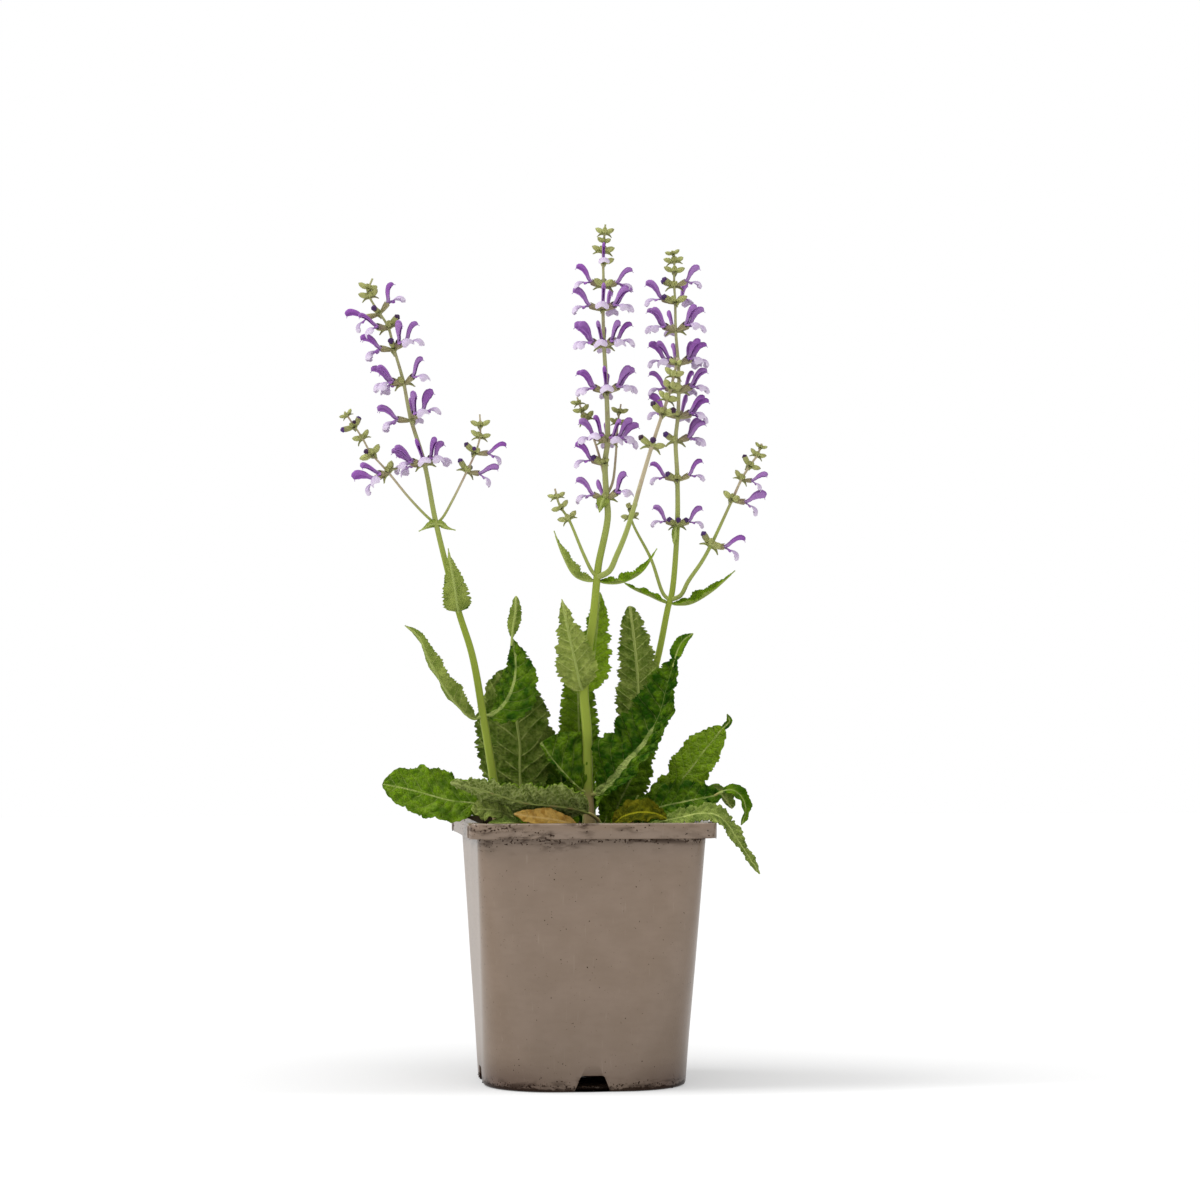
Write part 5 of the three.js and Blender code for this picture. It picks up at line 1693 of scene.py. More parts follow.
@dataclass(frozen=True)
class Soil:
    """The crumbly top of the peat."""

    container: Container
    top: float = 144.0
    depth: float = 8.0            # how much of it under its surface is built
    gap: float = 0.3              # between it and the wall
    crown: float = 0.6            # how much higher its middle is
    lump: float = 9.0             # width of its lumps and of its smaller ones
    grain: float = 2.6
    crumbs: int = 520
    rng: random.Random = field(default_factory=lambda: random.Random(SEED + 2), compare=False)

    def build(self, finishes: Finishes) -> None:
        """Shows the soil."""
        bm = blank()
        inset = self.container.wall + self.gap
        half, corner, _ = self.container.wall_at(self.top, inset)
        low_half, low_corner, low = self.container.wall_at(self.top - self.depth, inset)

        def height(x: float, y: float) -> float:
            """Gives the height of the lumpy surface."""
            lumps = 1.6 * noise.noise((x / self.lump, y / self.lump, 0))
            grains = 1.0 * noise.noise((x / self.grain, y / self.grain, 7))
            return self.top + self.crown * (1 - max(abs(x), abs(y)) / half) + 0.7 * (lumps + grains)

        def place(u: float, v: float) -> Vector:
            """Places a corner: from the middle of the underside, up the side and in over the surface."""
            if v < 0.01:
                return Vector((0, 0, low))
            if v < 0.04:
                return Vector((*square_spot(u, low_half, low_corner), low))
            share = max((1 - v) / 0.95, 0.0)
            x, y = square_spot(u, half * share, corner * share)
            return Vector((x, y, height(x, y)))

        patch(bm, 120, 50, place)
        bmesh.ops.recalc_face_normals(bm, faces=bm.faces)
        for _ in range(self.crumbs):
            x, y = self.rng.uniform(-0.94, 0.94) * half, self.rng.uniform(-0.94, 0.94) * half
            size = self.rng.uniform(0.35, 1.0) ** 1.6 * 1.5
            squash = (self.rng.uniform(0.7, 1.4), self.rng.uniform(0.7, 1.4), 0.8)
            crumb(bm, size, squash, (x, y, height(x, y) + 0.2 * size))
        show(bm, "soil_bed", Slot.SOIL, [finishes.soil], {"soil"}, TO_METRES)


# ---------------------------------------------------------------- the three flowering stems

LEFT_SPRAYS = (
    Spray(
        places=((-50, 5, 146), (-51.5, 5, 170), (-58.9, 5, 217.8), (-65.5, 4, 254.4), (-73.9, 2, 281.5),
                (-87.1, 0, 333.1), (-94.3, 0, 369.7), (-102.9, 1, 398), (-107.2, 1, 419.6),
                (-112.9, 1, 439.4), (-116.5, 1, 452.6), (-123.1, 1, 462.8), (-127.6, 1, 470.6),
                (-127.9, 1, 476), (-125.8, 1, 481.5)),
        rooted=True, foot=3.4, tip=0.7,
        whorls=(
            Whorl(369.7, open=(180, 215, 145, 305, 272, 35)),
            Whorl(396.6, open=(198, 165, 352, 300, 80)), Whorl(418.6, open=(186, 218, 140, 325)),
            Whorl(439.4, open=(196, 165, 352, 305), buds=(270,)),
            Whorl(452.2, open=(222,), buds=(188, 0, 90)),
            Whorl(461, open=(180, 2), buds=(260,), size=0.95),
            Whorl(470.6, buds=(200, 330, 80), size=0.8), Whorl(475.5, buds=(180, 50), size=0.8),
        ),
    ),
    Spray(
        places=((-87.1, 0, 333.1), (-92.5, -1, 337.5), (-103.6, -3, 349.1), (-116, -5, 364.3),
                (-126.4, -6, 375.9), (-131.5, -6, 384.9), (-136.3, -6, 392), (-142, -6, 400.4)),
        foot=1.05, tip=0.6,
        whorls=(
            Whorl(364.3, open=(228, 180), buds=(30,)), Whorl(374.5, buds=(180, 20)),
            Whorl(384.5, buds=(205, 20), size=0.75), Whorl(391.5, buds=(185, 40), size=0.9),
            Whorl(398, buds=(185, 10, 90, 270), size=0.55),
        ),
    ),
    Spray(
        places=((-87.1, 0, 333.1), (-83, -1, 337.3), (-77.5, -2, 346.9), (-68.5, -3, 364.9),
                (-62.9, -4, 377.3), (-60.7, -4, 385.6), (-60.5, -4, 392.6), (-60.9, -4, 399)),
        foot=1.0, tip=0.6,
        whorls=(
            Whorl(365.2, open=(350,), buds=(180, 90), size=0.9),
            Whorl(376.2, open=(8,), buds=(170,), size=0.9), Whorl(385.5, buds=(180, 10), size=0.75),
            Whorl(392.3, buds=(170, 10, 90), size=0.75),
        ),
    ),
)
LEFT_LEAVES = (
    Leaf(
        spine=((-58.9, 5, 217.8), (-65, 0, 216.5), (-72.7, -5, 223.2), (-80.5, -9, 233.4),
               (-90.7, -12, 251.4), (-97.3, -13, 265.2), (-105.1, -14, 271.8)),
        width=17, up=(0.25, 0.55, 0.6), up_tip=(0.5, 0.7, 0.4), start=0.06, belly=0.3, fold=38, petiole=1.3,
        tone=0.6, jagged=1.4,
    ),
    Leaf(
        spine=((-58.9, 5, 217.8), (-52.5, 2, 219.5), (-46, 0, 225), (-41, -1, 235), (-39, -1, 249),
               (-41.2, 0, 265)),
        width=34, up=(-0.45, -0.8, 0.3), start=0.06, belly=0.38, blunt=1.1, fold=-15, petiole=1.3, left=0.8,
        tone=0.24, rough=1.8, jagged=2.0, band=1.0,
        tail=Leaf(
            spine=((-41.8, -0.3, 260), (-41, 1, 270), (-39.5, 2, 280), (-39, 3, 290)),
            width=8.5, up=(0, 0.95, 0.2), belly=0.45, blunt=0.6, fold=10, wave=0.8, steps=6, petiole=0.9,
            tone=0.5, rough=2.0, jagged=1.6,
        ),
    ),
    Leaf(
        spine=((-73.6, 1, 280), (-74.2, -3, 284), (-76, -6.5, 297), (-78, -8, 308), (-79.5, -9, 318.1)),
        width=18, up=(0, 0.95, 0.3), start=0.01, belly=0.13, blunt=1.25, fold=12, steps=10, petiole=1.1,
        tone=0.8, rough=0.35, jagged=1.9,
    ),
    Leaf(
        spine=((-73.6, 1, 280), (-74.6, 6, 284), (-77.5, 11, 297), (-79, 14, 306), (-80.5, 17, 314)),
        width=16, up=(0, -0.8, 0.55), start=0.02, belly=0.14, blunt=1.2, fold=12, steps=10, petiole=1.1,
        jagged=1.5,
    ),
    Leaf(
        spine=((-86.8, 0, 333.5), (-90, -2, 333), (-93.5, -3, 330.8), (-97.5, -3, 328.6)),
        width=5, up=(0, 0.9, 0.4), start=0.01, belly=0.12, blunt=1.6, fold=5, wave=0.1, steps=4, petiole=0.9,
        tone=0.9, rough=0.4,
    ),
    Leaf(
        spine=((-87, 0, 333.5), (-84, -1.5, 333), (-80.5, -2, 330.8), (-75.4, -1, 329.4)),
        width=4.6, up=(0, 0.9, 0.4), start=0.01, belly=0.12, blunt=1.6, fold=5, wave=0.1, steps=4,
        petiole=0.9, tone=0.9, rough=0.4,
    ),
)
LEFT_STEM = FloweringStem("stem_left", LEFT_SPRAYS, LEFT_LEAVES)

CENTRE_SPRAYS = (
    Spray(
        places=((6, -8, 146), (4.2, -8, 170), (3.6, -8, 207.6), (1.8, -8, 237), (7.2, -8, 275.5),
                (9.6, -8, 300.7), (10.6, -8, 309.1), (16, -7, 336.7), (15.2, -6, 349.9), (14.4, -6, 369.7),
                (15.9, -6, 382.4), (15.2, -5, 414.8), (13.8, -5, 440.6), (13.2, -5, 462.8), (13.5, -5, 476),
                (13.3, -5, 488.7), (13.2, -5, 496.8), (13.8, -5, 504), (14.6, -5, 513.5)),
        rooted=True, foot=4.2, tip=0.7,
        whorls=(
            Whorl(348.6, open=(190, 322, 100), buds=(0,)), Whorl(369.5, open=(182,), buds=(200,)),
            Whorl(383, open=(200, 168, 240, 290, 328, 2, 90)),
            Whorl(413, open=(178, 208, 270, 322, 0, 90)),
            Whorl(440.7, open=(180, 210, 262, 305, 350, 90)),
            Whorl(462.7, open=(180, 268, 322, 352, 70)),
            Whorl(476.5, open=(180, 0), buds=(215, 325, 90), size=0.95),
            Whorl(490.3, open=(272,), buds=(0, 100), size=0.8), Whorl(497.4, buds=(180, 0), size=0.9),
            Whorl(502.8, buds=(215, 325, 90), size=0.6), Whorl(508.4, buds=(180, 0, 270), size=0.7),
        ),
    ),
    Spray(
        places=((9.6, -8, 300.7), (6.2, -10, 304.9), (1.1, -12, 315.4), (-7.2, -14, 334.9), (-13, -15, 344),
                (-15.6, -15, 353.5)),
        foot=1.4, tip=0.7,
        whorls=(
            Whorl(335.5, buds=(180, 10, 270), size=0.75), Whorl(342, buds=(200, 10), size=0.7),
            Whorl(348.5, buds=(180, 10, 90), size=0.65),
        ),
    ),
    Spray(
        places=((9.6, -8, 300.7), (16.8, -13, 304.4), (21.3, -17, 313.6), (27.3, -20, 328.3),
                (36.5, -23, 359.5), (42.2, -25, 378.5), (48.2, -27, 396.8), (52, -28, 408), (54.7, -29, 418),
                (57.5, -30, 430.4)),
        foot=2.2, tip=0.9,
        whorls=(
            Whorl(378.5, buds=(180, 0, 270)), Whorl(397.5, buds=(185, 0, 320, 90)),
            Whorl(406, buds=(190, 250, 310, 10, 100), size=0.81),
            Whorl(413, buds=(215, 280, 340, 40, 140), size=0.81),
            Whorl(420, buds=(190, 260, 330, 70), size=0.8), Whorl(427, buds=(180, 300, 60), size=0.6),
        ),
    ),
    Spray(
        places=((15, -6, 352), (13.4, -2, 364), (8, 4, 384), (2.8, 7, 396.5), (0, 8, 403.6),
                (-2.4, 9, 410.5)),
        foot=1.1, tip=0.6,
        whorls=(
            Whorl(397, buds=(0,), size=0.8), Whorl(402, buds=(180, 350), size=0.65),
            Whorl(407, buds=(180, 80), size=0.6),
        ),
    ),
    Spray(
        places=((15.4, -6, 350), (19, -1, 358.3), (20.9, 2, 374), (22.2, 4, 394.7), (24.1, 5, 406)),
        foot=1.1, tip=0.6,
        whorls=(Whorl(394.5, buds=(170, 25), size=0.65), Whorl(401, buds=(180, 0, 90), size=0.65)),
    ),
)
CENTRE_LEAVES = (
    Leaf(
        spine=((4.2, -8, 171), (0.5, -12, 173.6), (-6, -15, 179.5), (-12, -17.5, 186), (-17.5, -19, 192.5),
               (-23.6, -20, 202)),
        width=54, up=(0.38, -0.84, 0.25), start=0.12, belly=0.55, blunt=0.3, fold=6, left=0.08, petiole=1.8,
        tone=0.26, rough=1.8, jagged=1.8,
    ),
    Leaf(
        spine=((4.2, -8, 170), (10, -13, 172), (18, -16, 178.5), (27.5, -18, 190.5), (36, -19, 199.5),
               (42, -19, 209), (47, -18, 219), (51.5, -17, 236), (56.5, -15, 252)),
        width=44, up=(-0.45, -0.8, 0.3), start=0.06, belly=0.28, blunt=0.5, fold=30, steps=14, petiole=2,
        right=0.7, tone=0.12, rough=2.2, wave=2.0, jagged=2.0, band=3.0, fades=0.52,
        tail=Leaf(
            spine=((54.8, -15.5, 247), (57.5, -15, 256), (61, -14, 262.5), (67, -13, 267)),
            width=10, up=(-0.5, -0.8, 0.2), belly=0.3, fold=20, wave=0.4, steps=6, petiole=0.9,
        ),
    ),
    Leaf(
        spine=((1.8, -8, 233), (0, -11.5, 235), (-2.5, -15, 246), (-7, -17, 266), (-11.4, -18, 287.5)),
        width=26, up=(0.1, 0.95, 0.2), start=0.03, belly=0.22, blunt=1.0, fold=10, petiole=1.3, tone=0.76,
        rough=1.7, jagged=1.9, wave=1.5,
    ),
    Leaf(
        spine=((1.8, -8, 233), (4, -3.5, 236), (7, 0, 247), (9.6, 2, 270), (11.4, 3, 292.3)),
        width=22.5, up=(0.1, -0.95, 0.2), start=0.02, belly=0.28, fold=10, petiole=1.3, tone=1.0,
        rough=1.3, jagged=1.5,
    ),
    Leaf(
        spine=((9.4, -8, 299.5), (4, -9, 299), (-3.7, -10, 302), (-10.8, -11, 314), (-16.2, -12, 328.5)),
        width=13, up=(0.35, 0.3, 0.85), up_tip=(0.6, 0.3, 0.5), start=0.04, belly=0.3, blunt=1.5, fold=40,
        steps=10, petiole=1.1, tone=0.8, jagged=1.7,
    ),
    Leaf(
        spine=((9.4, -8, 299.5), (15, -8.5, 297.8), (24, -9, 298), (36, -8, 304), (45.6, -7, 318.1)),
        width=14, up=(-0.2, -0.3, 0.9), up_tip=(-0.5, -0.3, 0.7), start=0.04, belly=0.3, blunt=1.4, fold=30,
        steps=10, petiole=1.1, tone=0.8, jagged=1.7,
    ),
    Leaf(
        spine=((15.2, -6, 349), (14, -8.8, 348.4), (12.2, -10.2, 345), (11, -10.8, 339.5)),
        width=7.5, up=(0, 0.9, -0.2), start=0.1, belly=0.3, blunt=1.1, fold=10, steps=4, petiole=0.9,
        tone=0.7,
    ),
)
CENTRE_STEM = FloweringStem("stem_center", CENTRE_SPRAYS, CENTRE_LEAVES)

RIGHT_SPRAYS = (
    Spray(
        places=((30, 22, 146), (31, 22, 170), (37, 20, 215), (47.4, 18, 256.6), (52.9, 16, 284.2),
                (55.1, 16, 292), (58.4, 15, 334.1), (58.4, 15, 362.5), (57.4, 15, 385.6), (58.8, 15, 399.4),
                (59.4, 15, 417.8), (59.1, 15, 431.4), (57.5, 15, 451.6), (57.2, 15, 469.4), (56.6, 15, 479.8),
                (56.6, 15, 488), (56.6, 15, 494), (55.4, 15, 500.2)),
        rooted=True, foot=3.2, tip=0.7,
        whorls=(
            Whorl(333.6, open=(180, 0), buds=(270, 215, 325), size=0.86),
            Whorl(361.3, open=(178, 2), buds=(205,), size=0.9),
            Whorl(385, open=(350, 25), buds=(182, 212)), Whorl(399.5, open=(176, 0, 75, 330)),
            Whorl(415, open=(180, 0, 330, 60)), Whorl(432, open=(180, 232, 5, 45, 318, 100)),
            Whorl(452.2, open=(184, 215, 320, 0, 100)), Whorl(469.3, open=(180, 60), buds=(205, 0)),
            Whorl(479.4, open=(2,), buds=(165, 200), size=0.9),
            Whorl(487.7, buds=(180, 0, 270), size=0.85), Whorl(494, buds=(175, 20), size=0.75),
            Whorl(498.5, buds=(190, 0, 90), size=0.55),
        ),
    ),
    Spray(
        places=((53.8, 16, 288), (60.1, 14, 290.5), (64.9, 12, 299.2), (73.1, 10, 311.1), (78.6, 9, 321.1),
                (91.5, 8, 348.7), (97, 8, 360.7), (102.1, 8, 369.1), (106.6, 8, 375.4), (109.3, 8, 382.4)),
        foot=1.7, tip=0.7,
        whorls=(
            Whorl(321.1, open=(0,), buds=(172, 322)),
            Whorl(348.8, open=(2,), buds=(165, 300), size=0.95),
            Whorl(361, open=(345,), buds=(175,), size=0.75), Whorl(369, buds=(160, 0), size=0.85),
            Whorl(375.2, buds=(175, 0), size=0.65), Whorl(380, buds=(190, 0, 90), size=0.5),
        ),
    ),
    Spray(
        places=((53.8, 16, 288), (50.1, 18, 291.5), (42.6, 20, 312.9), (30.8, 22, 336.7), (29.4, 23, 347.5)),
        foot=1.4, tip=0.8,
        whorls=(Whorl(338.6, buds=(180, 22), size=0.7), Whorl(344, buds=(250, 350, 90), size=0.6)),
    ),
)
RIGHT_LEAVES = (
    Leaf(
        spine=((53.6, 16, 286.5), (49, 14, 287.6), (41.8, 12, 290.6), (31.7, 10, 294.7), (25, 9, 299)),
        width=9, up=(0.2, -0.3, 0.9), start=0.04, belly=0.4, blunt=1.2, fold=30, steps=10, petiole=1.1,
        tone=0.75, jagged=1.6,
    ),
    Leaf(
        spine=((53.6, 16, 286.5), (58, 14, 285.6), (66, 12, 286), (79, 9, 293.2), (93.1, 7, 305.5)),
        width=13, up=(-0.2, -0.35, 0.85), start=0.04, belly=0.3, blunt=1.3, fold=35, steps=10, petiole=1.1,
        tone=0.75, jagged=1.7,
    ),
    Leaf(
        spine=((58.4, 15, 333), (57.6, 12, 331.6), (56.8, 10.4, 327), (56.2, 10, 321.5)),
        width=4.5, up=(0, 0.9, -0.2), start=0.1, belly=0.3, fold=10, steps=4, petiole=0.9, tone=0.7,
    ),
)
RIGHT_STEM = FloweringStem("stem_right", RIGHT_SPRAYS, RIGHT_LEAVES)

# ---------------------------------------------------------------- the rosette

BASAL_LEAVES = (
    Leaf(
        name="leaf_left_upright", tone=0.27, rough=1.7, jagged=2.0,
        spine=((-33, 11, 146), (-33.5, 11, 152), (-36, 12, 168), (-37, 13, 186), (-37, 14, 200),
               (-39, 15, 216), (-39.5, 16, 231), (-35, 17, 248)),
        width=53, up=(-0.05, 0.97, 0.2), start=0.1, belly=0.5, blunt=0.5, fold=8, wave=1.6, steps=14,
        petiole=2, left=0.82,
    ),
    Leaf(
        name="leaf_left_broad", tone=0.46, rough=1.1,
        spine=((-40, -22, 146), (-42, -24, 153), (-52, -31, 162), (-63, -38, 166.5), (-75, -44, 168),
               (-90, -48, 172), (-103, -49.5, 175.5), (-116, -51, 178)),
        width=40, left=0.84, up=(0.1, -0.78, 0.62), start=0.24, belly=0.6, blunt=0.5, fold=6, wave=1.2,
        steps=13, petiole=1.8,
    ),
    Leaf(
        name="leaf_front_long", look=Look.DOWNY, tone=0.7, rough=2.4, jagged=1.5,
        spine=((12, -26, 146), (11, -29, 155), (2, -37, 162), (-12.6, -45, 165), (-33.6, -52, 167.5),
               (-54.7, -55, 174), (-76, -57, 179.5)),
        width=30, up=(0, 0.66, 0.7), start=0.2, belly=0.2, blunt=0.55, fold=12, wave=2.2, steps=13,
        petiole=1.7,
    ),
    Leaf(
        name="leaf_front_crumpled", look=Look.PALE, tone=0.6, rough=2.8, jagged=1.3,
        spine=((-34, -30, 146), (-36, -34, 153), (-42, -43, 160), (-52, -50, 163), (-64, -53, 163.5)),
        width=21, up=(0.1, -0.8, 0.6), start=0.3, belly=0.5, blunt=0.5, fold=12, wave=1.6, steps=10,
        petiole=1.4,
    ),
    Leaf(
        name="leaf_front_pale", look=Look.PALE, tone=0.3,
        spine=((-28, -42, 146), (-29, -46, 151), (-36, -54, 155), (-46, -58, 155.5), (-56, -59.5, 154)),
        width=11, up=(0, -0.5, 0.85), start=0.3, belly=0.5, fold=10, wave=0.8, steps=10, petiole=1.1,
    ),
    Leaf(
        name="leaf_front_dead", look=Look.DEAD, tone=0.6,
        spine=((2, -48, 146), (0, -50.5, 151), (-6, -54, 155), (-18, -57.5, 158), (-30, -58.5, 159.5),
               (-39, -57.5, 161)),
        width=13, up=(0, -0.85, 0.5), start=0.16, belly=0.5, blunt=0.7, fold=6, wave=0.7, steps=10,
        petiole=1.1,
    ),
    Leaf(
        name="leaf_front_yellow", look=Look.YELLOW, rough=1.8,
        spine=((16, -40, 146), (18, -43, 152), (24, -48, 158.5), (33, -51, 161.5), (43, -52, 161),
               (50, -52, 158)),
        width=18, up=(0, -0.75, 0.66), start=0.2, belly=0.45, blunt=0.6, fold=20, wave=1.4, steps=10,
        petiole=1.2,
    ),
    Leaf(
        name="leaf_centre_back", tone=0.62, rough=1.7, jagged=1.7,
        spine=((2, 6, 146), (2, 6.5, 152), (1.5, 8, 174), (-1, 10, 205), (-2, 12, 235), (-3, 13, 256)),
        width=25, up=(0, -0.95, 0.3), start=0.12, belly=0.5, blunt=0.6, fold=12, wave=1.4, petiole=1.7,
    ),
    Leaf(
        name="leaf_right_inner", tone=0.42, rough=1.7, jagged=1.7,
        spine=((18, -2, 146), (18.5, -2, 152), (23, -3, 166), (30, -4, 180), (37, -4, 196), (42, -3, 210)),
        width=25, up=(0.1, -0.95, 0.3), start=0.1, belly=0.4, blunt=0.7, fold=14, wave=1.3, petiole=1.8,
    ),
    Leaf(
        name="leaf_right_tall", tone=0.36, rough=1.7, jagged=2.0,
        spine=((20, 10, 146), (20.5, 10, 152), (28, 9, 178), (33.5, 8, 205), (34.5, 7, 233), (33, 6, 255),
               (29.5, 5, 284)),
        width=29, up=(0.1, 0.97, 0.15), start=0.2, belly=0.42, blunt=0.5, fold=9, wave=1.1, steps=14,
        petiole=1.9,
    ),
    Leaf(
        name="leaf_right_upper", tone=0.8, rough=1.0, jagged=1.3,
        spine=((38, 2, 146), (39.5, 2, 152), (49, 2, 167), (58, 0, 177), (66, -1, 186), (74, -2, 197),
               (80, -3, 204), (85.5, -4, 211)),
        width=34, left=0.8, right=0.9, up=(-0.3, -0.85, 0.45), start=0.12, belly=0.58, blunt=0.5, fold=15,
        wave=1.5, steps=13, petiole=1.8,
        tail=Leaf(
            spine=((82.5, -3.5, 207.5), (86.5, -4, 211.5), (89, -5, 214.5), (87.5, -5.5, 219)),
            width=4.5, up=(-0.3, -0.85, 0.45), belly=0.4, fold=10, wave=0.2, steps=5, petiole=0.9,
        ),
    ),
    Leaf(
        name="leaf_right_arching", tone=0.18, rough=2.1, jagged=1.2,
        spine=((34, -16, 146), (35.5, -18, 153), (44, -24, 162.5), (58, -28, 166.5), (70, -30, 169),
               (83, -31, 171.5)),
        width=29, up=(-0.1, -0.86, 0.5), start=0.1, belly=0.4, blunt=0.5, fold=14, wave=2.0, petiole=1.7,
        tail=Leaf(
            spine=((79, -30.7, 170.8), (84, -31, 173.5), (89.5, -31, 174), (95, -31, 169.5), (97, -31, 162),
                   (94.5, -31, 153.5)),
            width=11, up=(0.2, -0.75, 0.65), up_tip=(0.85, -0.5, 0.2), belly=0.3, blunt=0.6, fold=24,
            wave=0.8, petiole=1.0,
        ),
    ),
    Leaf(
        name="leaf_right_hanging", look=Look.PALE, tone=0.42, rough=2.4, jagged=1.6,
        spine=((30, -32, 146), (32, -36, 150), (44, -45, 155), (58, -50, 158.5), (70, -52, 161),
               (79, -53, 160), (86, -53, 154), (91, -54, 146), (97.5, -56, 136), (104, -57, 126)),
        width=16, up=(0, -0.5, 0.85), up_tip=(0.8, -0.6, 0.3), start=0.14, belly=0.4, blunt=0.6, fold=10,
        wave=1.0, steps=14, petiole=1.5,
    ),
    Leaf(
        name="leaf_back_left", tone=0.4, fine=1.0,
        spine=((-40, 26, 146), (-42, 28, 152), (-52, 42, 158), (-66, 60, 163), (-82, 78, 165),
               (-94, 92, 161)),
        width=30, up=(0, 0, 1), start=0.2, belly=0.45, blunt=0.6, fold=14, wave=1.4, petiole=1.8,
    ),
    Leaf(
        name="leaf_back_middle_left", tone=0.3, fine=1.0,
        spine=((-28, 34, 146), (-28.5, 37, 155), (-34, 50, 178), (-38, 64, 198), (-41, 80, 212)),
        width=28, up=(0, -0.6, 0.8), start=0.2, belly=0.45, blunt=0.6, fold=18, wave=1.4, petiole=1.8,
    ),
    Leaf(
        name="leaf_back_middle", tone=0.45, fine=1.0,
        spine=((8, 32, 146), (8, 35, 154), (8, 50, 166), (7, 70, 174), (5, 92, 174), (3, 108, 166)),
        width=28, up=(0, 0, 1), start=0.2, belly=0.45, blunt=0.6, fold=14, wave=1.4, petiole=1.8,
    ),
    Leaf(
        name="leaf_back_middle_right", tone=0.3, fine=1.0,
        spine=((25, 38, 146), (25.5, 41, 155), (29, 54, 175), (33, 68, 189), (37, 84, 198)),
        width=26, up=(0, -0.6, 0.8), start=0.2, belly=0.45, blunt=0.6, fold=18, wave=1.4, petiole=1.7,
    ),
    Leaf(
        name="leaf_back_right", tone=0.4, fine=1.0,
        spine=((46, 26, 146), (48, 28, 153), (60, 38, 165), (74, 50, 172), (86, 62, 170), (94, 70, 160)),
        width=28, up=(0, 0, 1), start=0.2, belly=0.45, blunt=0.6, fold=14, wave=1.4, petiole=1.7,
    ),
)

YOUNG_LEAVES = (
    Leaf(((-12, -14, 146), (-16, -18, 156), (-22, -22, 164), (-30, -25, 168)), 14, (0.1, -0.8, 0.6),
         tone=0.3),
    Leaf(((-4, -20, 146), (-6, -24, 154), (-10, -27, 162), (-16, -29, 170)), 13, (0, -0.9, 0.4), tone=0.45),
    Leaf(((16, -18, 146), (22, -21, 154), (29, -23, 162), (34, -24, 171)), 14, (0.1, -0.8, 0.5), tone=0.3),
    Leaf(((-22, 4, 146), (-25, 2, 156), (-27, 0, 168), (-24, -2, 178)), 15, (0.1, -0.9, 0.3), tone=0.2),
    Leaf(((12, 12, 146), (16, 14, 158), (22, 15, 170), (26, 14, 182)), 16, (0, -0.9, 0.4), tone=0.45),
    Leaf(((-8, 24, 146), (-11, 26, 162), (-12, 27, 178), (-11, 28, 196)), 26, (0, -0.9, 0.3), tone=0.25),
    Leaf(((30, 8, 146), (38, 8, 156), (45, 6, 165), (50, 3, 171)), 16, (0.1, -0.8, 0.6), tone=0.25),
    Leaf(((-30, -10, 146), (-36, -12, 153), (-44, -14, 158), (-52, -16, 160)), 16, (0, -0.6, 0.8),
         tone=0.3),
    Leaf(((4, 30, 146), (2, 32, 158), (0, 34, 170), (2, 36, 182)), 18, (0, -0.9, 0.3), tone=0.2),
)

LEAF_SLOTS = {
    Look.GREEN: Slot.GREEN,
    Look.PALE: Slot.UNDERSIDE,
    Look.DOWNY: Slot.UNDERSIDE,
    Look.YELLOW: Slot.YELLOW,
    Look.DEAD: Slot.DEAD,
}
SEEN_FROM_BELOW = {"leaf_left_upright", "leaf_front_long", "leaf_right_tall"}


@dataclass(frozen=True)
class Rosette:
    """The leaves that rise from the soil, each a piece of its own."""

    leaves: tuple[Leaf, ...]
    young: tuple[Leaf, ...]

    def build(self, finishes: Finishes) -> None:
        """Shows the leaves, and the small ones among their feet as one piece."""
        for number, leaf in enumerate(self.leaves):
            bm = blank()
            replace(leaf, rooted=True).build(bm, 20 + number)
            slot = Slot.UNDERSIDE if leaf.name in SEEN_FROM_BELOW else LEAF_SLOTS[leaf.look]
            show(bm, f"{leaf.name}_blade", slot, finishes.leaf[leaf.look], {leaf.name})
        bm = blank()
        for number, leaf in enumerate(self.young):
            leaf.build(bm, 60 + number)
        show(bm, "young_leaves", Slot.GREEN, finishes.leaf[Look.GREEN], ())


# ---------------------------------------------------------------- studio


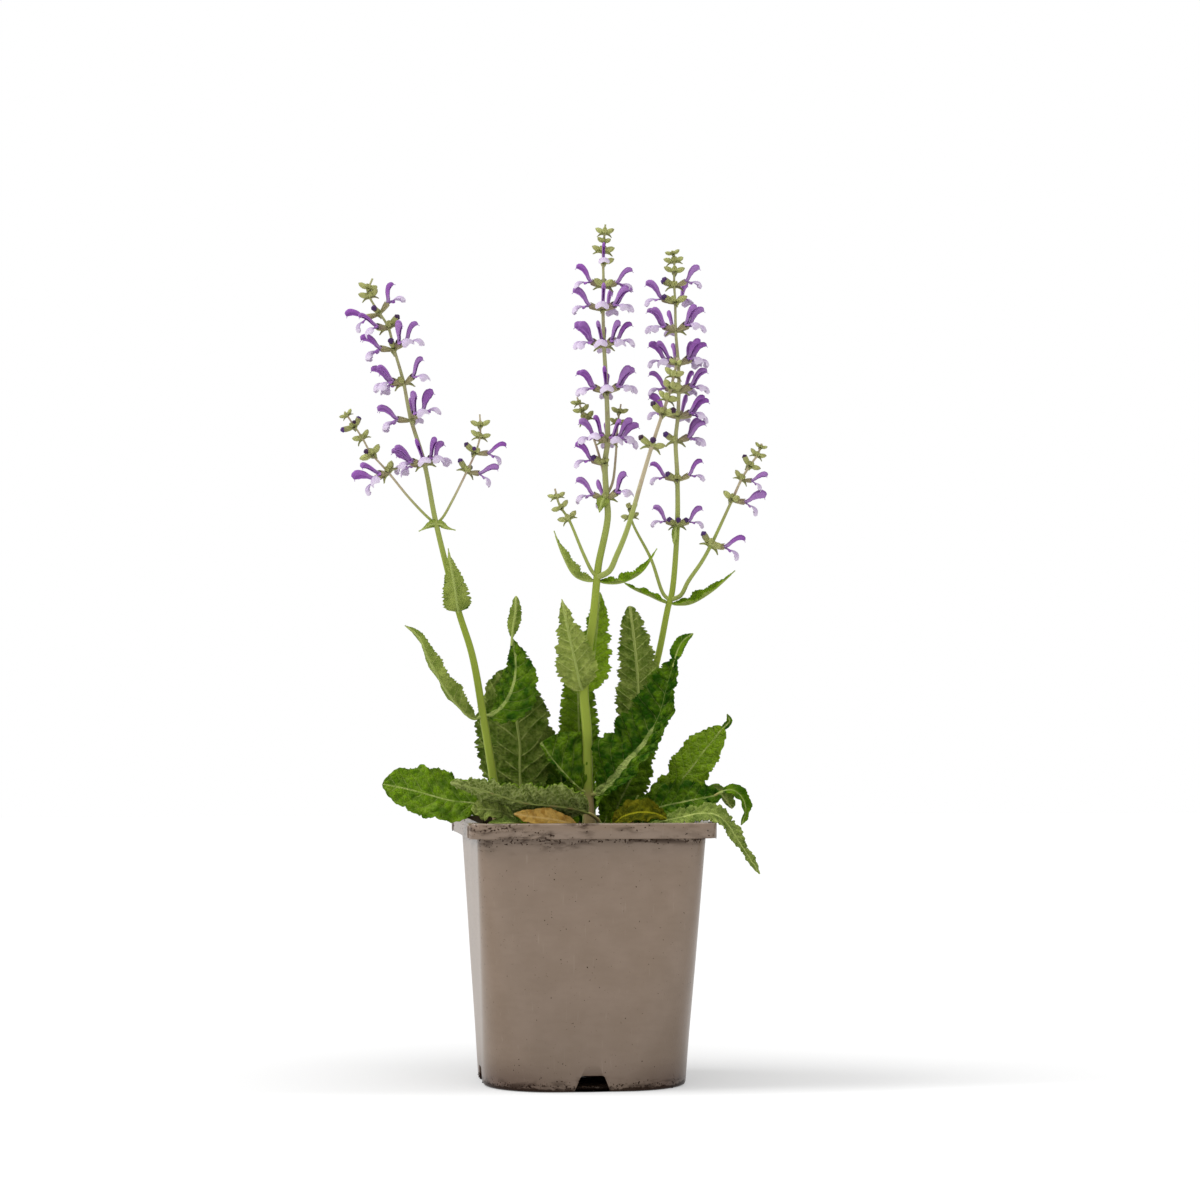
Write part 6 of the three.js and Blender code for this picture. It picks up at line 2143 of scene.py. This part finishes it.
@dataclass(frozen=True)
class Studio:
    """White paper, soft light and the camera."""

    lens: float = 96.5
    sensor: float = 36.0
    distance: float = 1933.0
    height: float = 225.0
    across: float = 19 / 3218     # how far the view turns right of the container, per unit away
    tilt: float = 104 / 3218      # how far the view rises, per unit away
    ambient: float = 0.55         # light from all round

    def build(self, finishes: Finishes) -> None:
        """Builds the floor, the lights and the camera."""
        scene = bpy.context.scene
        bm = blank()
        patch(bm, 8, 8, lambda u, v: Vector(((u - 0.5) * 9000, (v - 0.5) * 9000, -0.2)))
        bmesh.ops.transform(bm, matrix=TO_METRES, verts=bm.verts)
        floor = bpy.data.objects.new("studio_floor", mesh_of(bm, "studio_floor"))
        floor.data.materials.append(finishes.floor)
        scene.collection.objects.link(floor)
        scene.world = self._world()
        self._sun("key", (-0.8, 0.05, 0.75), 40.0, 2.6)
        self._sun("top", (0.1, -0.35, 1.0), 50.0, 1.6)
        self._camera(scene)
        scene.view_settings.view_transform = "Standard"
        scene.view_settings.look = "None"
        scene.view_settings.exposure = 0.0

    def _world(self) -> bpy.types.World:
        """Surrounds the scene with white, which lights it less than it shows."""
        g = Graph(bpy.data.worlds.new("studio"))
        shown = g.add("MAXIMUM", g.add("LightPath"), g.add("LightPath", out="Is Glossy Ray"))
        strength = g.add("MapRange", shown, named={"To Min": self.ambient})
        return g.finish(g.add("Background", "#ffffff", strength))

    @staticmethod
    def _sun(name: str, source: Point, softness: float, strength: float) -> None:
        """Adds broad even light from one side.

        Args:
            name: Its name.
            source: The way towards it.
            softness: How wide it looks, in degrees.
            strength: Its strength.
        """
        light = bpy.data.lights.new(name, "SUN")
        light.angle = math.radians(softness)
        light.energy = strength
        lamp = bpy.data.objects.new(name, light)
        lamp.rotation_euler = (-Vector(source)).to_track_quat("-Z", "Y").to_euler()
        bpy.context.scene.collection.objects.link(lamp)

    def _camera(self, scene: bpy.types.Scene) -> None:
        """Adds the camera."""
        data = bpy.data.cameras.new("camera")
        data.lens = self.lens
        data.sensor_width = self.sensor
        data.clip_start, data.clip_end = 0.1, 30.0
        camera = bpy.data.objects.new("camera", data)
        turn = PLANT_TO_ROW.to_3x3().normalized()
        camera.location = PLANT_TO_ROW @ Vector((0, -self.distance, self.height))
        aim = turn @ Vector((self.across, 1, self.tilt))
        camera.rotation_euler = aim.to_track_quat("-Z", "Y").to_euler()
        scene.collection.objects.link(camera)
        scene.camera = camera


def main() -> None:
    """Builds the scene in order."""
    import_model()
    finishes = Finishes()
    container = Container()
    container.build(finishes)
    Soil(container).build(finishes)
    forms = FlowerForms()
    for stem in (LEFT_STEM, CENTRE_STEM, RIGHT_STEM):
        stem.build(forms, finishes)
    for form in forms.forms():
        bpy.data.meshes.remove(form)
    Rosette(BASAL_LEAVES, YOUNG_LEAVES).build(finishes)
    Studio().build(finishes)


if __name__ == "__main__":
    logging.basicConfig(level=logging.INFO, format="%(name)s %(message)s")
    main()
